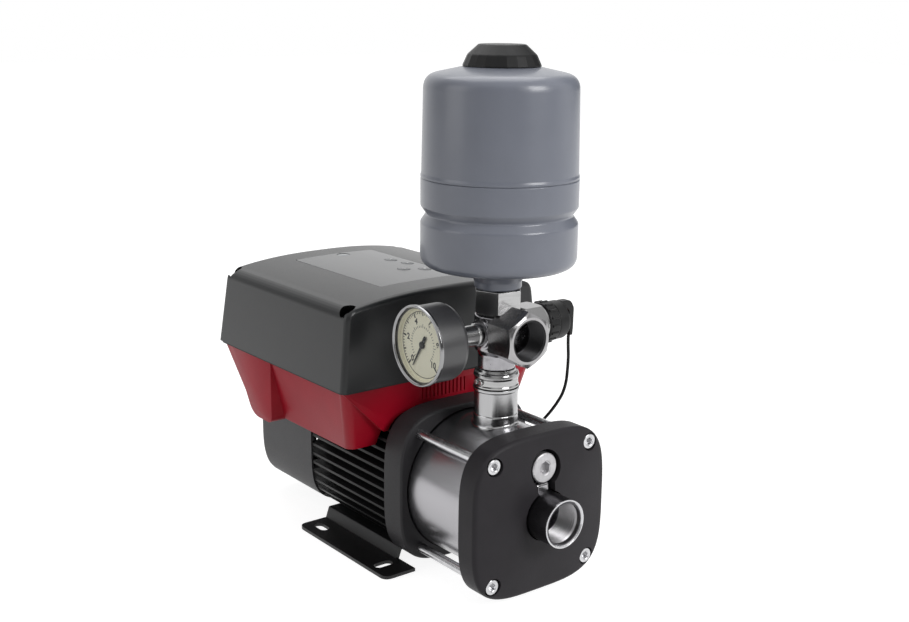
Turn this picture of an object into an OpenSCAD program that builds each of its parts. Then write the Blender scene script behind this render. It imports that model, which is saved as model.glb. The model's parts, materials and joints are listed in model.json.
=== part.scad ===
// Horizontal multistage booster pump with motor, speed control box, outlet
// fitting, pressure gauge, pressure transmitter and diaphragm tank.
// Millimetres. +X runs along the shaft towards the suction port, +Z is up,
// and the origin is the centre of the foot's hole pattern on the floor.

/* [Shaft line] */
// Height of the shaft above the floor
shaft_h = 75; // [72:1:84]
// Front face of the motor bracket, from the centre of the foot
bracket_face_x = 76.5; // [74:0.5:88]
// Clear run of the sleeve between the bracket and the front plate
sleeve_span = 76.5; // [72:0.5:90]

/* [Front plate] */
// Width of the front plate and of the motor bracket
plate_w = 140; // [136:1:150]
// Height of the front plate and of the motor bracket
plate_h = 136; // [134:1:142]
// Thickness of the front plate at its rim
plate_t = 22; // [18:1:26]
// Rise of the front plate's dome over its rim
plate_dome = 6; // [2:0.5:9]
// Side of the square that the tie bolts stand on
bolt_square = 101.7; // [99:0.1:104]
// Diameter of the tie bolts
bolt_d = 8; // [6:1:8]
// Diameter of the tie bolts' heads
bolt_head_d = 13; // [11:0.5:14]
// Height of the tie bolts' heads
bolt_head_h = 8; // [6:0.5:9]

/* [Suction and priming] */
// Outer diameter of the suction port
port_od = 40.4; // [38:0.2:44]
// Reach of the suction port past the plate's rim face
port_reach = 28; // [22:1:36]
// Bore of the suction thread
port_bore_d = 30.3; // [27:0.1:31]
// Height of the priming plug over the shaft
priming_rise = 39.6; // [38.5:0.1:42]
// Diameter of the priming plug's head
priming_head_d = 25.5; // [22:0.5:27]
// Bore of the priming thread
priming_bore_d = 15; // [12:0.1:16]

/* [Sleeve and stages] */
// Outer radius of the stainless sleeve
sleeve_r = 63; // [62:0.5:64]
// Wall of the sleeve
sleeve_wall = 1.5; // [1:0.1:2]
// Outer radius of the stage chambers
chamber_r = 52; // [50:0.5:54]
// Length of one stage
stage_pitch = 21; // [20:0.5:22]
// Number of stages
stage_count = 3; // [1:1:3]
// Outer radius of the impellers
impeller_r = 42; // [36:0.5:44]

/* [Discharge] */
// Discharge axis in front of the bracket face
discharge_offset = 37.8; // [30:0.1:40]
// Outer radius of the discharge stub
stub_r = 18.3; // [17:0.1:19]
// Height of the top of the discharge stub over the floor
stub_top_z = 169; // [166:1:170]
// Height of the fitting's side ports over the floor
fitting_z = 215.5; // [213:0.5:220]
// Size of the outlet hexagon across its flats
outlet_af = 41; // [38:0.5:43]
// Reach of the outlet hexagon from the discharge axis
outlet_reach = 41.2; // [38:0.2:46]
// Bore of the outlet thread
outlet_bore_d = 30.3; // [26:0.1:31]
// Lift of the check valve's poppet
poppet_lift = 7; // [4:0.5:8]

/* [Gauge] */
// Radius of the gauge's bezel
gauge_r = 33.2; // [30:0.2:36]
// Distance of the gauge's face from the discharge axis
gauge_face_y = 83; // [76:0.1:88]
// Depth of the gauge's case behind its face
gauge_depth = 28; // [20:0.5:32]

/* [Transmitter and its cable] */
// Size of the transmitter's hexagon across its flats
transmitter_af = 34; // [30:1:36]
// Radius of the transmitter's plug
plug_r = 18.5; // [16:0.5:20]
// Length of the transmitter's plug
plug_len = 25; // [22:0.5:30]
// Diameter of the sensor cable
cable_d = 2.8; // [2:0.1:3.4]

/* [Tank] */
// Outer radius of the tank
tank_r = 63.7; // [58:0.1:68]
// Wall of the tank's shells
tank_wall = 1.5; // [1.2:0.1:2.5]
// Height of the tank's lowest point over the floor
tank_bottom_z = 264; // [262:1:268]
// Height of the lower shell up to the seam
tank_lower_h = 78.7; // [74:0.5:90]
// Height of the upper shell from the seam to the cap
tank_upper_h = 86.6; // [76:0.5:110]
// Radius of the valve cap at its foot
cap_r = 31.2; // [26:0.5:36]
// Height of the valve cap
cap_h = 17.4; // [15:0.5:22]

/* [Motor] */
// Width of the motor frame over its ribs
motor_w = 124; // [120:1:128]
// Length of the ribbed motor frame
frame_len = 128; // [124:1:140]
// Bore of the motor frame
frame_bore_r = 46; // [44:0.5:48]
// Spacing of the cooling ribs
rib_pitch = 9; // [7:0.5:12]
// Thickness of the cooling ribs
rib_t = 2.4; // [1.6:0.1:3]
// Length of the fan cover
fan_cover_len = 98; // [90:1:110]
// Radius of the motor shaft
shaft_r = 7.5; // [6.5:0.1:8]
// Outer radius of the bearings
bearing_r = 17.5; // [16:0.5:18.5]
// Width of the bearings
bearing_w = 11; // [9:0.5:12]

/* [Foot] */
// Width of the foot across the shaft
foot_w = 168.5; // [162:0.5:176]
// Length of the foot along the shaft
foot_len = 140; // [132:1:148]
// Distance of the foot's front edge from the centre
foot_front = 73; // [70:0.5:76]
// Thickness of the foot's sheet
foot_t = 3; // [2:0.5:4]
// Hole spacing across the shaft
slot_span_y = 140; // [136:1:142]
// Hole spacing along the shaft
slot_span_x = 100; // [90:1:104]
// Length of the foot's slots
slot_len = 18; // [12:0.5:18]
// Width of the foot's slots
slot_w = 9; // [7:0.5:9.5]

/* [Control box] */
// Width of the control box at its rim
box_w = 216; // [206:1:226]
// Length of the control box
box_len = 215.5; // [206:0.5:230]
// Distance of the box's front face from the centre of the foot
box_front_x = 47; // [40:1:50]
// Height of the rim between cover and base over the floor
box_rim_z = 163; // [160:1:168]
// Height of the cover's sides
cover_side_h = 70; // [50:1:74]
// Rise of the cover's arched top over its sides
cover_crown = 7; // [6:1:20]
// Draft of the cover's sides over their height
cover_draft = 6.5; // [2:0.5:10]
// Wall of the cover and of the base
box_wall = 3; // [2:0.5:4]
// Height of the base below the rim
base_h = 56.5; // [52:0.5:60]
// Height of the keys over their panel, which is also their travel
key_travel = 0.5; // [0.3:0.1:0.8]

/* [Hidden] */

// Overrun of every cut past the face that it opens
cut = 1;
// Thickness of the slices that a blended shape is drawn through
slice = 0.02;
// Radial clearance of a part that is seated in a round recess
seat_gap = 0.3;
// Radial clearance of bolts, pins and pressed rings
close_gap = 0.05;
// Radial clearance of the running shaft
running_gap = 0.05;
$fn = 96;

// Pump end, from the shaft line outwards
sleeve_seat = 5;
sleeve_x0 = bracket_face_x - sleeve_seat;
plate_back_x = bracket_face_x + sleeve_span;
plate_front_x = plate_back_x + plate_t;
plate_pocket = 12;
disc_t = 4;
sleeve_x1 = plate_back_x + plate_pocket - disc_t;
sleeve_ri = sleeve_r - sleeve_wall;
pocket_r = sleeve_r + 3 * seat_gap;
spigot_r = sleeve_ri - seat_gap;
spigot_wall = 4;
spigot_len = 8;
seal_groove = 2.6;
seal_plate_t = 8;
post_len = 5;
stack_x0 = sleeve_x0 + seal_plate_t + post_len;
stack_x1 = stack_x0 + stage_count * stage_pitch;
chamber_wall = 1.5;
eye_r = 17;
eye_gap = 1;
bolt_half = bolt_square / 2;
bolt_depth = 14;
bolt_hex = 6;
corner_power = 3.8;
plate_edge = 4;
port_face_x = plate_front_x + port_reach;
port_bore_r = port_bore_d / 2;
boss_r = priming_head_d / 2;
priming_bore_r = priming_bore_d / 2;
priming_head_h = 6;
priming_hex = 10;
priming_seal_t = 1.5;
priming_drop = 5;
priming_boss_x = plate_front_x - priming_drop;
discharge_x = bracket_face_x + discharge_offset;

// Motor end
bracket_t = 26;
frame_x1 = bracket_face_x - bracket_t;
frame_x0 = frame_x1 - frame_len;
motor_half = motor_w / 2;
frame_wall = 4;
cover_wall = 2;
fan_cover_x0 = frame_x0 - fan_cover_len;
core_len = 70;
core_gap = 0.5;
core_x0 = (frame_x0 + frame_x1 - core_len) / 2;
rotor_r = 26;
slot_count = 12;
slot_depth = 13;
bearing_back = 9;
bearing_x1 = bracket_face_x - sleeve_seat - bearing_back;
bearing_x0 = bearing_x1 - bearing_w;
rear_shield_t = 14;
bearing_lip = 1.5;
rear_bearing_x = frame_x0 + bearing_lip;
race_t = 2.6;
ball_count = 8;
shaft_step = 1.5;
pump_shaft_r = shaft_r - shaft_step;
fan_shaft_len = 50;
shaft_x0 = frame_x0 - fan_shaft_len;
shaft_end = 4;
shaft_x1 = stack_x1 + shaft_end;
fan_r = 50;
fan_back = 44;
fan_x0 = frame_x0 - fan_back;
fan_len = 26;
blade_count = 9;

// Foot
foot_top_z = shaft_h - motor_half;
riser_half = 51;
riser_lean = 4.5;
riser_foot = riser_half + riser_lean;
riser_in = riser_foot - foot_t;
riser_end_gap = 3;
riser_x1 = frame_x1 - riser_end_gap;
pad_half = 32;
foot_corner = 8;
foot_screw_d = 6;
foot_screw_x = 44;
foot_screw_y = 22;

// Discharge
stub_wall = 2.5;
stub_collar = 1;
stub_collar_h = 2.5;
socket_step = 0.4;
socket_z = 144.5;
union_h = 15.5;
union_groove = 2.6;
pipe_r = stub_r - stub_wall - seat_gap;
pipe_wall = 3;
pipe_bore_r = pipe_r - pipe_wall;
fitting_x = discharge_x;
fitting_base_z = stub_top_z + union_h;
core_r = 19;
fitting_up = 15.2;
fitting_top_z = fitting_z + fitting_up;
branch_r = 12;
branch_reach = 21;
gauge_branch = 16;
stem_step = 3.5;
tap_r = 5;
sensor_tap_r = 6;
hex_len = 20;
outlet_thread_len = 18;

// Check valve inside the stub
cage_r = stub_r - stub_wall - seat_gap;
cage_bore = 9.5;
seat_z = 140;
seat_t = 3;
cage_post = 2;
poppet_r = 11.5;
poppet_t = 2.5;
spring_block = 11.5;
cage_h = seat_t + poppet_t + poppet_lift + spring_block;
stem_r = 2;
spring_wire = 0.9;
spring_turns = 5;
spring_r = 5;

// Gauge
bezel_step = 1.7;
case_r = gauge_r - bezel_step;
case_back_y = gauge_face_y - gauge_depth;
case_taper = 8;
case_bulge = 4;
case_back_share = 0.72;
bezel_h = 3.5;
bezel_lip = 3;
glass_t = 2;
glass_inset = 1.6;
dial_t = 1;
dial_depth = 7;
pointer_len = 22;
pointer_tail = 8;
pointer_w = 1.8;
pointer_t = 0.6;
hub_r = 3;
arbor_r = 1;
arbor_len = 4;
pointer_rest = 212;
stem_pipe_r = 9;

// Transmitter
transmitter_y0 = branch_reach;
transmitter_len = 22;
plug_neck = 1.5;
plug_neck_in = 2;
plug_y0 = transmitter_y0 + transmitter_len + plug_neck;
plug_y1 = plug_y0 + plug_len;
relief_r = 2.6;
relief_lip = 0.2;

// Tank
nut_af = 36.4;
nut_h = 21.5;
nut_turn = 20;
neck_r = 18.2;
neck_z = fitting_top_z + nut_h;
seam_z = tank_bottom_z + tank_lower_h;
tank_top_z = seam_z + tank_upper_h;
groove_drop = 29.2;
groove_depth = 4.5;
tank_bend_low = 10.5;
tank_bend_top = 14;
tank_step = 0.6;
valve_r = 4;
valve_h = 12;
cap_wall = 2;
cap_top_share = 0.6;
cap_mid_share = 0.86;
cap_mid_rise_share = 0.55;

// Control box
box_back_x = box_front_x - box_len;
box_half = box_w / 2;
box_corner = 8;
edge_r = 11;
rim_lap = 3;
base_half = box_half - rim_lap;
lip_z = box_rim_z - base_h;
lip_in = 13;
lip_front = 15;
lip_back = 23;
arch_gap = 4;
arch_half = motor_half + arch_gap;
arch_top = shaft_h + motor_half + arch_gap / 4;
gasket_t = 1.6;
side_z = box_rim_z + cover_side_h;
crown_steps = 8;
screw_in_x = 12;
screw_in_y = 13.5;
screw_pocket_r = 6.5;
screw_head_r = 4;
screw_d = 4;
screw_len = 16;
pocket_drop = 12;
panel_in = 37;
panel_len = 142;
panel_x1 = box_front_x - panel_in;
panel_x0 = panel_x1 - panel_len;
panel_half = 44;
panel_depth = 1.6;
panel_t = 1;
key_r = 6;
key_h = 6;
// Places of the keys and of the lens, as shares of the panel's half length and half width
key_shares = [[-0.23, 0.64], [0.06, 0.74], [0.36, 0.3], [0.48, 0.68]];
lens_share = [-0.87, 0.1];
function on_panel(share) = [panel_x1 - panel_len / 2 * (1 - share[0]), panel_half * share[1]];
boss_in = 24;
boss_len = 70;
boss_low_len = 43;
boss_drop = 2.5;
boss_x1 = box_back_x + boss_in + boss_len;
boss_x0 = boss_x1 - boss_len;
vent_count = 12;
vent_w = 1.8;
vent_pitch = 4.2;
vent_top_drop = 8;
vent_h = 13;
pillar_r = 4;

gland_r = 6;
gland_back = 57;
gland_in = 18;
gland_place = [box_front_x - gland_back, base_half - gland_in];
gland_low_z = lip_z - 2 * gland_r;

// Route of the sensor cable, from the strain relief to the gland
cable_points = [[114.3, 80.5, 200], [114.3, 80.5, 192], [114.5, 81, 180],
    [114, 81, 168], [112.5, 81, 156], [109, 80.5, 145], [103, 80, 135],
    [96, 80, 126], [88, 80, 117], [78, 80.5, 107], [66, 81.5, 96],
    [53, 83, 86], [40, 84.5, 78], [27, 86, 73], [14, 87, 71],
    for (d = [[12, -21.5], [4, -15.5], [0.5, -7], [0, 0]])
        [gland_place[0] + d[0], gland_place[1], gland_low_z + d[1]]];
cable_rings = 76;
cable_sides = 8;

// Points of a rounded square with half sides hw and hh, bowed on every side
function bowed(hw, hh) = [for (i = [0 : 71]) let (c = cos(5 * i), s = sin(5 * i))
    [hw * sign(c) * pow(abs(c), 2 / corner_power), hh * sign(s) * pow(abs(s), 2 / corner_power)]];
// Points of an arc about centre c, from angle a0 to a1
function arc(c, r, a0, a1, n = 10) =
    [for (i = [0 : n]) let (a = a0 + (a1 - a0) * i / n) c + r * [cos(a), sin(a)]];
// Circumscribed radius of a hexagon of size af across its flats
function hex_r(af) = af / sqrt(3);
// Height of the cover's arched top at y
crown_half = box_half - cover_draft - edge_r;
crown_power = 2.5;
function crown_z(y) = side_z + cover_crown * (1 - pow(abs(y) / crown_half, crown_power));

// Cylinders along each axis, and a ring along the shaft
module xcyl(x0, len, r) translate([x0, 0, shaft_h]) rotate([0, 90, 0]) cylinder(h = len, r = r);
module ycyl(x, z, y0, len, r) translate([x, y0, z]) rotate([-90, 0, 0]) cylinder(h = len, r = r);
module zcyl(x, y, z0, len, r) translate([x, y, z0]) cylinder(h = len, r = r);
module xring(x0, len, ro, ri) difference() {
    xcyl(x0, len, ro);
    xcyl(x0 - cut, len + 2 * cut, ri);
}
// A hexagonal bar along the shaft direction, centred on y and z
module xhex(x0, len, af, y, z, turn = 0) translate([x0, y, z]) rotate([0, 90, 0])
    rotate([0, 0, turn]) cylinder(h = len, r = hex_r(af), $fn = 6);
// A flat outline in Y and Z, drawn out along the shaft
module along_shaft(x0, len) translate([x0, 0, shaft_h]) rotate([90, 0, 90])
    linear_extrude(height = len) children();
module bowed_slice(x, inset) along_shaft(x, slice)
    polygon(bowed(plate_w / 2 - inset, plate_h / 2 - inset));
// A bowed plate from x0 to x1 whose edge at x0 is bevelled
module bowed_prism(x0, x1, bevel) {
    hull() {
        bowed_slice(x0, bevel);
        bowed_slice(x0 + bevel, 0);
    }
    along_shaft(x0 + bevel, x1 - x0 - bevel) polygon(bowed(plate_w / 2, plate_h / 2));
}
// The four tie bolt places
module at_bolts() for (y = [-bolt_half, bolt_half], z = [-bolt_half, bolt_half])
    translate([0, y, shaft_h + z]) rotate([0, 90, 0]) children();
// A ring of round section about the shaft
module xtorus(x, r_mid, r_sec) translate([x, 0, shaft_h]) rotate([0, 90, 0])
    rotate_extrude() translate([r_mid, 0]) circle(r = r_sec, $fn = 24);
module mirrored_y() {
    children();
    mirror([0, 1, 0]) children();
}

dome_shares = [0.85, 0.65, 0.45, 0.25];
key_gap = 1;
plug_gap = 3;
neck_half = 8;
module front_plate() color("#38373a") difference() {
    union() {
        bowed_prism(plate_back_x, plate_front_x - plate_edge, plate_edge / 3);
        hull() {
            bowed_slice(plate_front_x - plate_edge - slice, 0);
            bowed_slice(plate_front_x - plate_edge / 3, plate_edge / 3);
            bowed_slice(plate_front_x - slice, plate_edge);
            for (s = dome_shares) translate([plate_dome * (1 - s * s), 0, 0])
                bowed_slice(plate_front_x, plate_w / 2 * (1 - s));
        }
    }
    xcyl(plate_back_x - cut, plate_pocket + cut, pocket_r);
    xcyl(plate_back_x, plate_t + plate_dome + cut, port_od / 2 + key_gap);
    translate([0, 0, priming_rise]) xcyl(plate_back_x, plate_t + plate_dome + cut, boss_r + plug_gap);
    translate([plate_back_x, -neck_half - key_gap, shaft_h])
        cube([plate_t + plate_dome + cut, 2 * (neck_half + key_gap), priming_rise]);
    at_bolts() {
        translate([0, 0, plate_back_x - cut])
            cylinder(h = plate_t + 2 * cut, r = bolt_d / 2 + close_gap);
        translate([0, 0, plate_front_x - bolt_head_h])
            cylinder(h = bolt_head_h + plate_dome, r = bolt_head_d / 2 + key_gap);
    }
}

module suction_housing() color("silver") difference() {
    union() {
        xcyl(sleeve_x1, disc_t, pocket_r - seat_gap);
        xring(sleeve_x1 - spigot_len, spigot_len, spigot_r, spigot_r - spigot_wall);
        xring(stack_x1, sleeve_x1 - stack_x1, chamber_r, chamber_r - spigot_wall);
        xcyl(sleeve_x1, port_face_x - sleeve_x1, port_od / 2);
        translate([0, 0, priming_rise])
            xcyl(sleeve_x1, priming_boss_x - sleeve_x1, boss_r);
        translate([sleeve_x1, -neck_half, shaft_h])
            cube([priming_boss_x - sleeve_x1, 2 * neck_half, priming_rise]);
    }
    xcyl(stack_x1, port_face_x - stack_x1 + cut, port_bore_r);
    translate([0, 0, priming_rise])
        xcyl(stack_x1, priming_boss_x - stack_x1 + cut, priming_bore_r);
    xring(sleeve_x1 - spigot_len / 2 - seal_groove / 2, seal_groove,
        spigot_r + cut, spigot_r - seal_groove);
}

priming_shank = 8;
priming_hex_depth = 4;
module priming_plug() color("silver") translate([0, 0, priming_rise]) difference() {
    union() {
        xcyl(priming_boss_x + priming_seal_t, priming_head_h, boss_r);
        xcyl(priming_boss_x + priming_seal_t - priming_shank, priming_shank + slice,
            priming_bore_r - close_gap);
    }
    xhex(priming_boss_x + priming_seal_t + priming_head_h - priming_hex_depth,
        priming_hex_depth + cut, priming_hex, 0, shaft_h);
}
module priming_seal() color("#202020") translate([0, 0, priming_rise])
    xring(priming_boss_x, priming_seal_t, boss_r - cut, priming_bore_r);

hex_depth = 4;
module tie_bolts() color("silver") at_bolts() difference() {
    union() {
        translate([0, 0, bracket_face_x - bolt_depth])
            cylinder(h = plate_front_x - bolt_head_h - bracket_face_x + bolt_depth, r = bolt_d / 2);
        translate([0, 0, plate_front_x - bolt_head_h])
            cylinder(h = bolt_head_h, r = bolt_head_d / 2);
    }
    translate([0, 0, plate_front_x - hex_depth])
        cylinder(h = hex_depth + cut, r = hex_r(bolt_hex), $fn = 6);
}

module pump_sleeve() color("silver") difference() {
    union() {
        xcyl(sleeve_x0, sleeve_x1 - sleeve_x0, sleeve_r);
        zcyl(discharge_x, 0, shaft_h, stub_top_z - shaft_h, stub_r);
        zcyl(discharge_x, 0, shaft_h, socket_z - shaft_h, stub_r + socket_step);
        zcyl(discharge_x, 0, stub_top_z - stub_collar_h, stub_collar_h, stub_r + stub_collar);
    }
    xcyl(sleeve_x0 - cut, sleeve_x1 - sleeve_x0 + 2 * cut, sleeve_ri);
    zcyl(discharge_x, 0, shaft_h, stub_top_z - shaft_h + cut, stub_r - stub_wall);
}

ring_sec = seal_groove / 2 - seat_gap;
ring_mid = spigot_r - seal_groove / 2 + seat_gap / 2;
module sleeve_seals() color("#1c1c1c") {
    xtorus(sleeve_x1 - spigot_len / 2, ring_mid, ring_sec);
    xtorus(sleeve_x0 + seal_plate_t / 2, ring_mid, ring_sec);
}

seal_bore_r = 13;
post_count = 6;
module seal_plate() color("silver") {
    difference() {
        xcyl(sleeve_x0, seal_plate_t, spigot_r);
        xcyl(sleeve_x0 - cut, seal_plate_t + 2 * cut, seal_bore_r);
        xring(sleeve_x0 + seal_plate_t / 2 - seal_groove / 2, seal_groove,
            spigot_r + cut, spigot_r - seal_groove);
    }
    for (i = [0 : post_count - 1]) translate([0, 0, shaft_h]) rotate([360 * i / post_count, 0, 0])
        translate([sleeve_x0 + seal_plate_t - slice, -neck_half / 2, chamber_r - spigot_wall])
            cube([post_len + slice, neck_half, spigot_wall - chamber_wall / 2]);
}

vane_count = 6;
vane_len = 7;
vane_t = 1.2;
module stage_chambers() color("lightsteelblue") for (i = [0 : stage_count - 1])
    translate([stack_x0 + i * stage_pitch, 0, 0]) {
        xring(0, stage_pitch, chamber_r, chamber_r - chamber_wall);
        xring(stage_pitch - chamber_wall, chamber_wall, chamber_r - chamber_wall / 2, eye_r + eye_gap);
        for (k = [0 : vane_count - 1]) translate([0, 0, shaft_h]) rotate([360 * k / vane_count, 0, 0])
            translate([0, -vane_t / 2, eye_r + eye_gap])
                cube([vane_len, vane_t, chamber_r - chamber_wall / 2 - eye_r - eye_gap]);
    }

shroud_t = 1.2;
channel = 7;
blade_t = 1.4;
vane_gap = 1.5;
impeller_back = vane_len + vane_gap;
impeller_len = channel + 2 * shroud_t;
impeller_hub_r = 10;
impeller_blades = 6;
blade_lean = 35;
blade_len = sqrt(pow(impeller_r, 2) - pow(eye_r * sin(blade_lean), 2))
    - eye_r * cos(blade_lean) - 2 * blade_t;
module impellers() color("#c9ccd0") for (i = [0 : stage_count - 1])
    translate([stack_x0 + i * stage_pitch + impeller_back, 0, 0]) difference() {
        union() {
            xcyl(0, shroud_t, impeller_r);
            xring(shroud_t + channel, shroud_t, impeller_r, eye_r - shroud_t);
            xring(shroud_t + channel, stage_pitch - impeller_back - shroud_t - channel - eye_gap / 2,
                eye_r, eye_r - shroud_t);
            xcyl(0, impeller_len, impeller_hub_r);
            for (k = [0 : impeller_blades - 1]) translate([0, 0, shaft_h])
                rotate([360 * k / impeller_blades, 0, 0]) translate([shroud_t - slice, 0, eye_r])
                    rotate([blade_lean, 0, 0]) translate([0, -blade_t / 2, 0])
                        cube([channel + 2 * slice, blade_t, blade_len]);
        }
        xcyl(-cut, impeller_len + stage_pitch, pump_shaft_r + close_gap);
    }

shaft_nut_af = 15;
shaft_nut_len = 6;
module rotor_shaft() color("#b8bcc2") {
    xcyl(shaft_x0, bearing_x1 + bearing_w / 4 - shaft_x0, shaft_r);
    xcyl(bearing_x1, shaft_x1 - bearing_x1, pump_shaft_r);
    xhex(shaft_x1 - slice, shaft_nut_len, shaft_nut_af, 0, shaft_h);
}

seal_face = 6;
seal_head = 6;
seal_break = 0.1;
module seal_stationary() color("#3b3f45")
    xring(sleeve_x0 + seal_plate_t - seal_face, seal_face, seal_bore_r - close_gap, shaft_r);
module seal_rotating() color("#8d9299")
    xring(sleeve_x0 + seal_plate_t + seal_break, seal_head, seal_bore_r - 2 * close_gap - eye_gap,
        pump_shaft_r + close_gap);

bracket_spigot = 6;
bracket_hollow_r = 24;
shaft_room = 1.5;
module motor_bracket() color("#2c2b2c") difference() {
    union() {
        bowed_prism(frame_x1, bracket_face_x - plate_edge / 2, plate_edge / 2);
        hull() {
            bowed_slice(bracket_face_x - plate_edge / 2 - slice, 0);
            bowed_slice(bracket_face_x - slice, plate_edge / 2);
        }
        xcyl(frame_x1 - bracket_spigot, bracket_spigot + slice, frame_bore_r - close_gap);
    }
    xcyl(sleeve_x0, sleeve_seat + cut, sleeve_r + seat_gap);
    xcyl(frame_x1 - bracket_spigot - cut, bracket_spigot + cut + bearing_x1 - frame_x1,
        bearing_r + close_gap);
    xcyl(frame_x1, bracket_t + cut, shaft_r + shaft_room);
    xring(frame_x1 - bracket_spigot - cut, bracket_spigot + cut + bracket_t / 2,
        frame_bore_r - frame_wall, bracket_hollow_r);
    at_bolts() translate([0, 0, bracket_face_x - bolt_depth])
        cylinder(h = bolt_depth + cut, r = bolt_d / 2 + close_gap);
}

rail_in = 14;
pad_top_half = 30;
pad_top_x0 = -50;
pad_top_len = 80;
module rib_outline() {
    difference() {
        union() {
            circle(r = frame_bore_r + frame_wall);
            intersection() {
                polygon(bowed(motor_half, motor_half));
                for (k = [-floor(motor_half / rib_pitch) : floor(motor_half / rib_pitch)])
                    translate([-motor_half, k * rib_pitch - rib_t / 2]) square([motor_w, rib_t]);
            }
            for (s = [-1, 1])
                translate([s * (rail_in + pad_half) / 2 - (pad_half - rail_in) / 2, -motor_half])
                    square([pad_half - rail_in, motor_half - frame_bore_r + frame_wall]);
        }
        circle(r = frame_bore_r);
    }
}
module motor_frame() color("#232323") difference() {
    union() {
        along_shaft(frame_x0, frame_len) rib_outline();
        along_shaft(pad_top_x0, pad_top_len) translate([-pad_top_half, frame_bore_r + frame_wall / 4])
            square([2 * pad_top_half, arch_top - shaft_h - frame_bore_r - frame_wall / 4]);
    }
    xcyl(frame_x0 - cut, frame_len + 2 * cut, frame_bore_r);
    for (x = [-foot_screw_x, foot_screw_x], y = [-foot_screw_y, foot_screw_y])
        zcyl(x, y, foot_top_z - cut, 2 * frame_wall + cut, foot_screw_d / 2 + close_gap);
}

slot_in = 2.5;
slot_half = 3.5;
module slots(d) for (k = [0 : slot_count - 1]) rotate(360 * k / slot_count)
    translate([rotor_r + slot_in + d, -slot_half + d])
        square([slot_depth - 2 * d, 2 * slot_half - 2 * d]);
module stator_core() color("#6f7276") along_shaft(core_x0, core_len) difference() {
    circle(r = frame_bore_r - close_gap);
    circle(r = rotor_r);
    slots(0);
}
end_turn = 11;
module windings() color("#a8642c") {
    along_shaft(core_x0 - slice, core_len + 2 * slice) slots(seat_gap);
    for (x = [core_x0 - end_turn, core_x0 + core_len]) xring(x, end_turn,
        rotor_r + slot_in + slot_depth - seat_gap, rotor_r + slot_in + seat_gap);
}
module rotor_core() color("#83868a")
    xring(core_x0, core_len, rotor_r - core_gap, shaft_r + close_gap);

bearing_places = [rear_bearing_x, bearing_x0];
ball_mid = (bearing_r + shaft_r) / 2;
ball_fit_r = ball_mid - shaft_r - race_t - running_gap;
// Outer races and balls of the two bearings
module bearing_outers() color("#c3c6ca") for (x = bearing_places) {
    xring(x, bearing_w, bearing_r, bearing_r - race_t);
    for (k = [0 : ball_count - 1]) translate([x + bearing_w / 2, 0, shaft_h])
        rotate([360 * k / ball_count, 0, 0]) translate([0, 0, ball_mid])
            sphere(r = ball_fit_r, $fn = 32);
}
module bearing_inners() color("#c3c6ca") for (x = bearing_places)
    xring(x, bearing_w, shaft_r + race_t, shaft_r + close_gap);
module rear_shield() color("#4b4c4e") difference() {
    xcyl(frame_x0, rear_shield_t, frame_bore_r - close_gap);
    xcyl(rear_bearing_x, rear_shield_t, bearing_r + close_gap);
    xcyl(frame_x0 - cut, rear_shield_t, shaft_r + shaft_room);
    xring(frame_x0 + frame_wall, rear_shield_t, frame_bore_r - frame_wall, bracket_hollow_r);
}

fan_hub_r = 15;
fan_disc_t = 2;
fan_disc_share = 0.75;
module cooling_fan() color("#3d3e40") difference() {
    union() {
        xcyl(fan_x0, fan_len, fan_hub_r);
        xcyl(fan_x0 + fan_len - fan_disc_t, fan_disc_t, fan_r * fan_disc_share);
        for (k = [0 : blade_count - 1]) translate([0, 0, shaft_h]) rotate([360 * k / blade_count, 0, 0])
            translate([fan_x0, -fan_disc_t / 2, fan_hub_r - fan_disc_t])
                cube([fan_len, fan_disc_t, fan_r - fan_hub_r + fan_disc_t]);
    }
    xcyl(fan_x0 - cut, fan_len + 2 * cut, shaft_r + close_gap);
}

fan_cover_edge = 10;
fan_edge_share = 0.3;
fan_cover_step = 1;
fan_cover_half = motor_half + fan_cover_step;
grille_r = 48;
grille_pitch = 9;
grille_gap = 5;
grille_rows = floor(grille_r / grille_pitch);
module fan_cover_slice(x, half) along_shaft(x, slice) polygon(bowed(half, half));
module fan_cover_form(inset) {
    hull() {
        fan_cover_slice(fan_cover_x0 + inset, motor_half - fan_cover_edge);
        fan_cover_slice(fan_cover_x0 + fan_cover_edge * fan_edge_share,
            motor_half - fan_cover_edge * fan_edge_share - inset);
        fan_cover_slice(fan_cover_x0 + fan_cover_edge, fan_cover_half - inset);
    }
    along_shaft(fan_cover_x0 + fan_cover_edge, fan_cover_len - fan_cover_edge + (inset > 0 ? cut : 0))
        polygon(bowed(fan_cover_half - inset, fan_cover_half - inset));
}
module fan_cover() color("#4d4d50") difference() {
    fan_cover_form(0);
    fan_cover_form(cover_wall);
    along_shaft(fan_cover_x0 - cut, cover_wall + 2 * cut) intersection() {
        circle(r = grille_r);
        for (k = [-grille_rows : grille_rows], s = [-1, 1]) translate([s > 0 ? cover_wall : -grille_r,
            k * grille_pitch - grille_gap / 2]) square([grille_r - cover_wall, grille_gap]);
    }
}

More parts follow.
